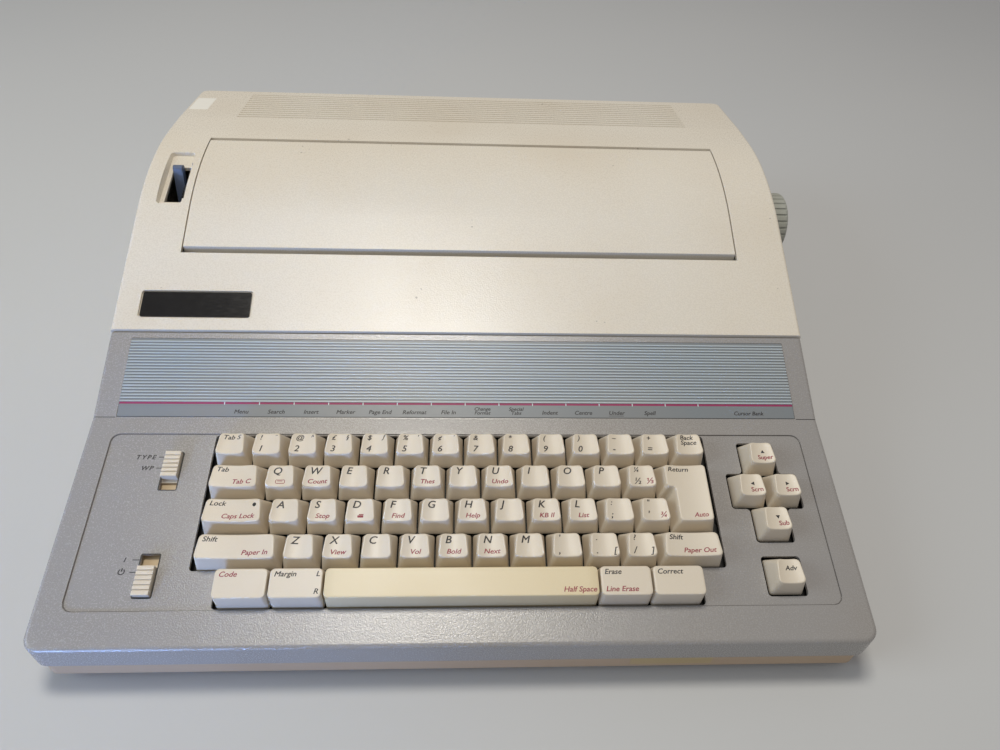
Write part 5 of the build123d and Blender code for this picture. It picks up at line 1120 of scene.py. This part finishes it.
# %% Marks beside the slide switches
PANEL = -0.6
marks = [word("TYPE", (-166.2, 99.7), 2.5, PANEL, align="RIGHT", spacing=1.4, bold=0.22),
         word("WP", (-166.2, 93.2), 2.5, PANEL, align="RIGHT", spacing=1.3, bold=0.22),
         word("I", (-168.6, 42.8), 2.3, PANEL, align="CENTER", bold=0.3),
         word("\u23fb", (-168.8, 36.4), 2.7, PANEL, align="CENTER", slant=0.1, bold=0.25)]
printed("switch_marks", marks, on_deck, BLACK_INK, "case")
switch_places = [(-162.6, 101.0), (-162.6, 94.5), (-162.8, 43.9), (-162.8, 37.6)]
sheet_piece("switch_ticks", (1.7, 0.22), SHARP, switch_places, PANEL, 0.03, on_deck, BLACK_INK)
print("marks:", len(marks), "ticks:", len(switch_places))

# %% [markdown]
# ## Painted shade in the seams
# Around the keys the deck has a shallow field, and a dark line of painted shade runs along the foot of
# its step. The slots of the two switches get a darker rim of painted shadow, and so does the short seam
# on each side where the deck bends up to the strip. Shade painted by the edge mask would spread over the
# whole deck, so each line is laid down as its own thin film. Each closed line is a rounded outline with a
# small flat section carried along it, so it bends round the corners as the step does.

# %% Painted shade lines round the field and the slots
FIELD_HALF = (192.3, 48.5)
FIELD_MIDDLE = (0.0, 66.7)
SLOTS = [(-156.0, 92.7), (-156.0, 35.8)]
# The next two films use the ink finish for painted shade: a grey one for the step, a near-black one for the
# gaps.
STEP_SHADOW = ink("painted_step_shadow", linear(84, 80, 78), linear(104, 100, 96))
SHADE = ink("painted_gap_shadow", linear(30, 29, 30), linear(48, 46, 46))


def rim(half, radius, middles, width, level, thick):
    """Closed lines, copies x 5 x points x 3: outer edge low and high, inner edge high and low, and back to
    the first."""
    half, middles = np.array(half, dtype=float), np.array(middles, dtype=float)
    count = len(middles)
    low, high = level - SUNK, level + thick
    outer = rounded_ring(np.tile(half, (count, 1)), np.full(count, radius), middles)
    inner = rounded_ring(np.tile(half - width, (count, 1)), np.full(count, radius - width), middles)
    flat = np.stack([outer, outer, inner, inner, outer], axis=1)
    height = np.array([low, high, high, low, low])[None, :, None, None]
    return np.concatenate([flat, np.broadcast_to(height, flat[..., :1].shape)], axis=-1)


# A thin dark film along the foot of the field's step: painted shade.
field_shadow_line = on_deck(rim(FIELD_HALF, 5.0, [FIELD_MIDDLE], 0.4, PANEL, 0.04))
grids("painted_field_shadow", field_shadow_line, STEP_SHADOW, "case", ring=True, smooth=False, weld=True)
# Near-black rims round the two switch slots: painted shadow in the gap beside the sliders.
slot_shadow_lines = on_deck(rim((5.0, 11.35), 1.0, SLOTS, 0.55, PANEL, 0.03))
grids("painted_slot_shadows", slot_shadow_lines, SHADE, "case", ring=True, smooth=False, weld=True)
# A near-black line on the short crease at each side: painted shade in the crease.
sheet_piece("painted_crease_shadows", (5.6, 0.2), SHARP, [(-199.0, 0.5), (199.0, 0.5)], 0.0, 0.03, on_strip, SHADE)
print("dark lines:", len(field_shadow_line), "round the field,", len(slot_shadow_lines), "round the slots")

# %% [markdown]
# ## Stickers
# A paper sticker lies on the case at the left rear, and a narrow tan one on the deck's front edge. Both
# are blank here. They are thin sheets with the finish of paper and of a plastic film, laid on two other
# planes: the case's top, which falls to the back, and the front wall, which stands upright.

# %% Blank stickers
STICKER = 0.1
REAR_HALF = (6.8, 13.0)
FRONT_HALF = (21.0, 4.7)
REAR = ((358.6, 122.91), -7.5)
FRONT = ((2.0, 14.2), 90.0)
PAPER = moulded("sticker_paper", linear(236, 234, 228), linear(226, 222, 212), 0.25, 0.01, 0.6, edge=0)
FOIL = moulded("tan_sticker_film", linear(190, 170, 128), linear(178, 156, 112), 0.25, 0.01, 0.4, edge=0)
sheet_piece("rear_sticker", REAR_HALF, 0.8, [(-196.6, 28.5)], 0.0, STICKER,
            lambda points: sloped(points, *REAR), PAPER)
sheet_piece("front_sticker", FRONT_HALF, 0.6, [(106.0, 0.0)], 0.0, STICKER,
            lambda points: sloped(points, *FRONT), FOIL)
print("sizes of the stickers:", [2 * half for half in REAR_HALF + FRONT_HALF])

# %% [markdown]
# ## The ribbon
# Between the cassette's arms a band of inked ribbon runs across the printing point. Its path, seen from
# above, is a flat arch with rounded corners, and the band is that path carried straight up. A curve with
# an extrusion would do as well, but its wall would have no thickness. It rides on the carriage.

# %% Ribbon band
def band(path, low, high, thick):
    """A thin upright band: the path pushed out by half the thickness on each side, joined top and bottom,
    with both ends drawn together to their middles."""
    path = np.array(path, dtype=float)
    along = np.gradient(path, axis=0)
    across = np.stack([-along[:, 1], along[:, 0]], axis=-1)
    across /= np.linalg.norm(across, axis=1, keepdims=True)
    outer, inner = path + across * thick / 2, path - across * thick / 2
    ring = [np.column_stack([side, np.full(len(path), z)]) for side, z in
            ((outer, low), (outer, high), (inner, high), (inner, low))]
    rows = np.stack(ring, axis=1)
    ends = np.broadcast_to(rows[[0, -1]].mean(axis=1, keepdims=True), (2, 4, 3))
    return np.concatenate([ends[:1], rows, ends[1:]])


ARM, ARM_END, TURN_Y, BEND = 43.0, 249.0, 257.2, 1.5
RIBBON_LOW, RIBBON_HIGH = 82.0, 90.0
turn = np.linspace(0, math.pi / 2, 6)
left_turn = np.stack([-ARM - BEND * np.cos(turn), TURN_Y + BEND * np.sin(turn)], axis=-1)
right_turn = (left_turn * [-1, 1])[::-1]
ribbon_path = np.vstack([[(-ARM - BEND, ARM_END)], left_turn, right_turn, [(ARM + BEND, ARM_END)]])
RIBBON = rubber("inked_ribbon", linear(22, 22, 26), 0.5)
ribbon = band(ribbon_path, RIBBON_LOW, RIBBON_HIGH, 0.12)[None]
grids("ribbon_band", ribbon, RIBBON, "carriage", ring=True, smooth=False, weld=True)
steps_along = np.linalg.norm(np.diff(ribbon_path, axis=0), axis=1)
print("the ribbon's path is", round(float(steps_along.sum()), 1), "mm long")

# %% [markdown]
# ## The lock light
# A small dark window at the right of the Lock key shows when capitals are locked. It is a shallow dome:
# rings that shrink as a cosine while they rise as a sine.

# %% Lock window
def dome(middle, radius, low, rise):
    """Rings from the middle below, out to the rim, and up over a quarter circle to the middle above."""
    angle = np.linspace(0, 2 * math.pi, 20, endpoint=False)
    up = np.linspace(0, math.pi / 2, 6)
    reach = np.concatenate([[0.0], radius * np.cos(up)])
    height = np.concatenate([[low], low + rise * np.sin(up)])
    x = middle[0] + reach[:, None] * np.cos(angle)
    s = middle[1] + reach[:, None] * np.sin(angle)
    return np.stack([x, s, np.broadcast_to(height[:, None], x.shape)], axis=-1)


left, right, front, back = corners_of(HOMES[0])
lock_top = float(top_of(HOMES[0])(np.array([[right - 2.6, back - 3.2]]))[0])
lock_dome = on_deck(dome((right - 2.6, back - 3.2), 1.15, lock_top - 0.2, 0.45))[None]
lock_window = grids("lock_window", lock_dome, BLACK, "lock_key", ring=True, weld=True)
print("top of the cap at the window:", round(lock_top, 2), "mm above the deck")

# %% [markdown]
# ## Floor
# The machine stands on a plain pale surface. It is one flat sheet, far wider than the machine and just
# below its feet, with a matt finish, so that it shows a soft shadow and no mirror image. It is no piece of
# the machine, and so it rides on no body.

# %% Floor
def floor_finish():
    """Matt paper-like grey with a faint cloud."""
    f = Finish("backdrop_paper")
    cloud = f.noise(300.0, 2.0)
    fine = f.noise(0.8, 2.0)
    toned = f.mix(cloud, linear(196, 198, 200), linear(200, 201, 202))
    return f.done(toned, f.spread(fine, 0.3, 0.7, 0.85, 0.95), f.bump(fine, 0.01))


FLOOR_HALF = 4.0
FLOOR_LOW = -0.0002
FLOOR_POINTS = 9
reach = np.linspace(-FLOOR_HALF, FLOOR_HALF, FLOOR_POINTS)
sheet_x, sheet_y = np.meshgrid(reach, reach)
sheet = np.stack([sheet_x, sheet_y, np.full_like(sheet_x, FLOOR_LOW)], axis=-1)
mesh = bpy.data.meshes.new("floor")
mesh.from_pydata(sheet.reshape(-1, 3).tolist(), [], grid_faces(FLOOR_POINTS, FLOOR_POINTS, False).tolist())
mesh.materials.append(floor_finish())
floor = bpy.data.objects.new("floor", mesh)
bpy.context.collection.objects.link(floor)
print("floor:", 2 * FLOOR_HALF, "m wide")

# %% [markdown]
# ## Light
# A soft light as warm as a ceiling lamp hangs straight above the machine; its mirror image in the plastic
# is the bright sheen across the case and the front of the deck. A large cool one to the left stands for a
# window. A small blue one, low in front, only grazes the front edge of the deck and of the caps, where
# the real one shows a strip of sky. The world adds a dim even light, so that no shadow goes black.

# %% Lights
def soft_light(name, place, towards, size, power, colour, spread=180):
    """A rectangular soft light at a place, facing a point, that shines over a spread of degrees."""
    lamp = bpy.data.lights.new(name, "AREA")
    lamp.shape = "RECTANGLE"
    lamp.size, lamp.size_y = size
    lamp.energy = power
    lamp.color = colour
    made = bpy.data.objects.new(name, lamp)
    bpy.context.collection.objects.link(made)
    made.location = place
    made.rotation_mode = "QUATERNION"
    made.rotation_quaternion = (Vector(towards) - Vector(place)).to_track_quat("-Z", "Y")
    if spread < 180:
        lamp.spread = math.radians(spread)


WARM, COOL, BLUE = (1.0, 0.95, 0.85), (0.80, 0.92, 1.0), (0.26, 0.46, 1.0)
ROOM_TONE = (1.0, 0.96, 0.94, 1.0)
ROOM_STRENGTH = 0.30
soft_light("overhead", (-0.13, 0.02, 1.5), (-0.05, 0.0, 0.0), (0.25, 0.40), 10.3, WARM)
soft_light("window_left", (-1.5, -0.5, 1.0), (0.0, 0.0, 0.05), (0.9, 0.9), 9.0, COOL)
soft_light("sky_glow", (-0.55, -0.80, 0.10), (-0.22, -0.15, 0.04), (0.4, 0.12), 0.20, BLUE, spread=28)
world = bpy.data.worlds.new("room")
world.use_nodes = True
background = world.node_tree.nodes["Background"]
background.inputs["Color"].default_value = ROOM_TONE
background.inputs["Strength"].default_value = ROOM_STRENGTH
bpy.context.scene.world = world
print("watts of the lights:", [round(lamp.energy, 2) for lamp in bpy.data.lights])

# %% [markdown]
# ## Camera
# The camera looks down at the keyboard from in front, as someone about to type does. Where it stands and
# how it is turned were solved from the rows and columns of the keys, whose real pitch is known; a lens of
# 26.8 mm on a 36 mm sensor gives the same width of view. The turn is a quaternion, so that no order of
# three angles has to be remembered.

# %% Camera
SENSOR = 36.0
LENS = 26.821
EYE = (-0.007374, -0.370945, 0.377970)
EYE_TURN = (0.9229914, 0.3839346, -0.0251583, -0.0069406)
camera_data = bpy.data.cameras.new("camera")
camera_data.sensor_width = SENSOR
camera_data.lens = LENS
camera_data.clip_start, camera_data.clip_end = 0.01, 20.0
camera = bpy.data.objects.new("camera", camera_data)
bpy.context.collection.objects.link(camera)
camera.location = EYE
camera.rotation_mode = "QUATERNION"
camera.rotation_quaternion = Quaternion(EYE_TURN)
bpy.context.scene.camera = camera
bpy.context.scene.view_settings.view_transform = "Standard"
print("camera", round(camera.location.z, 3), "m above the floor")
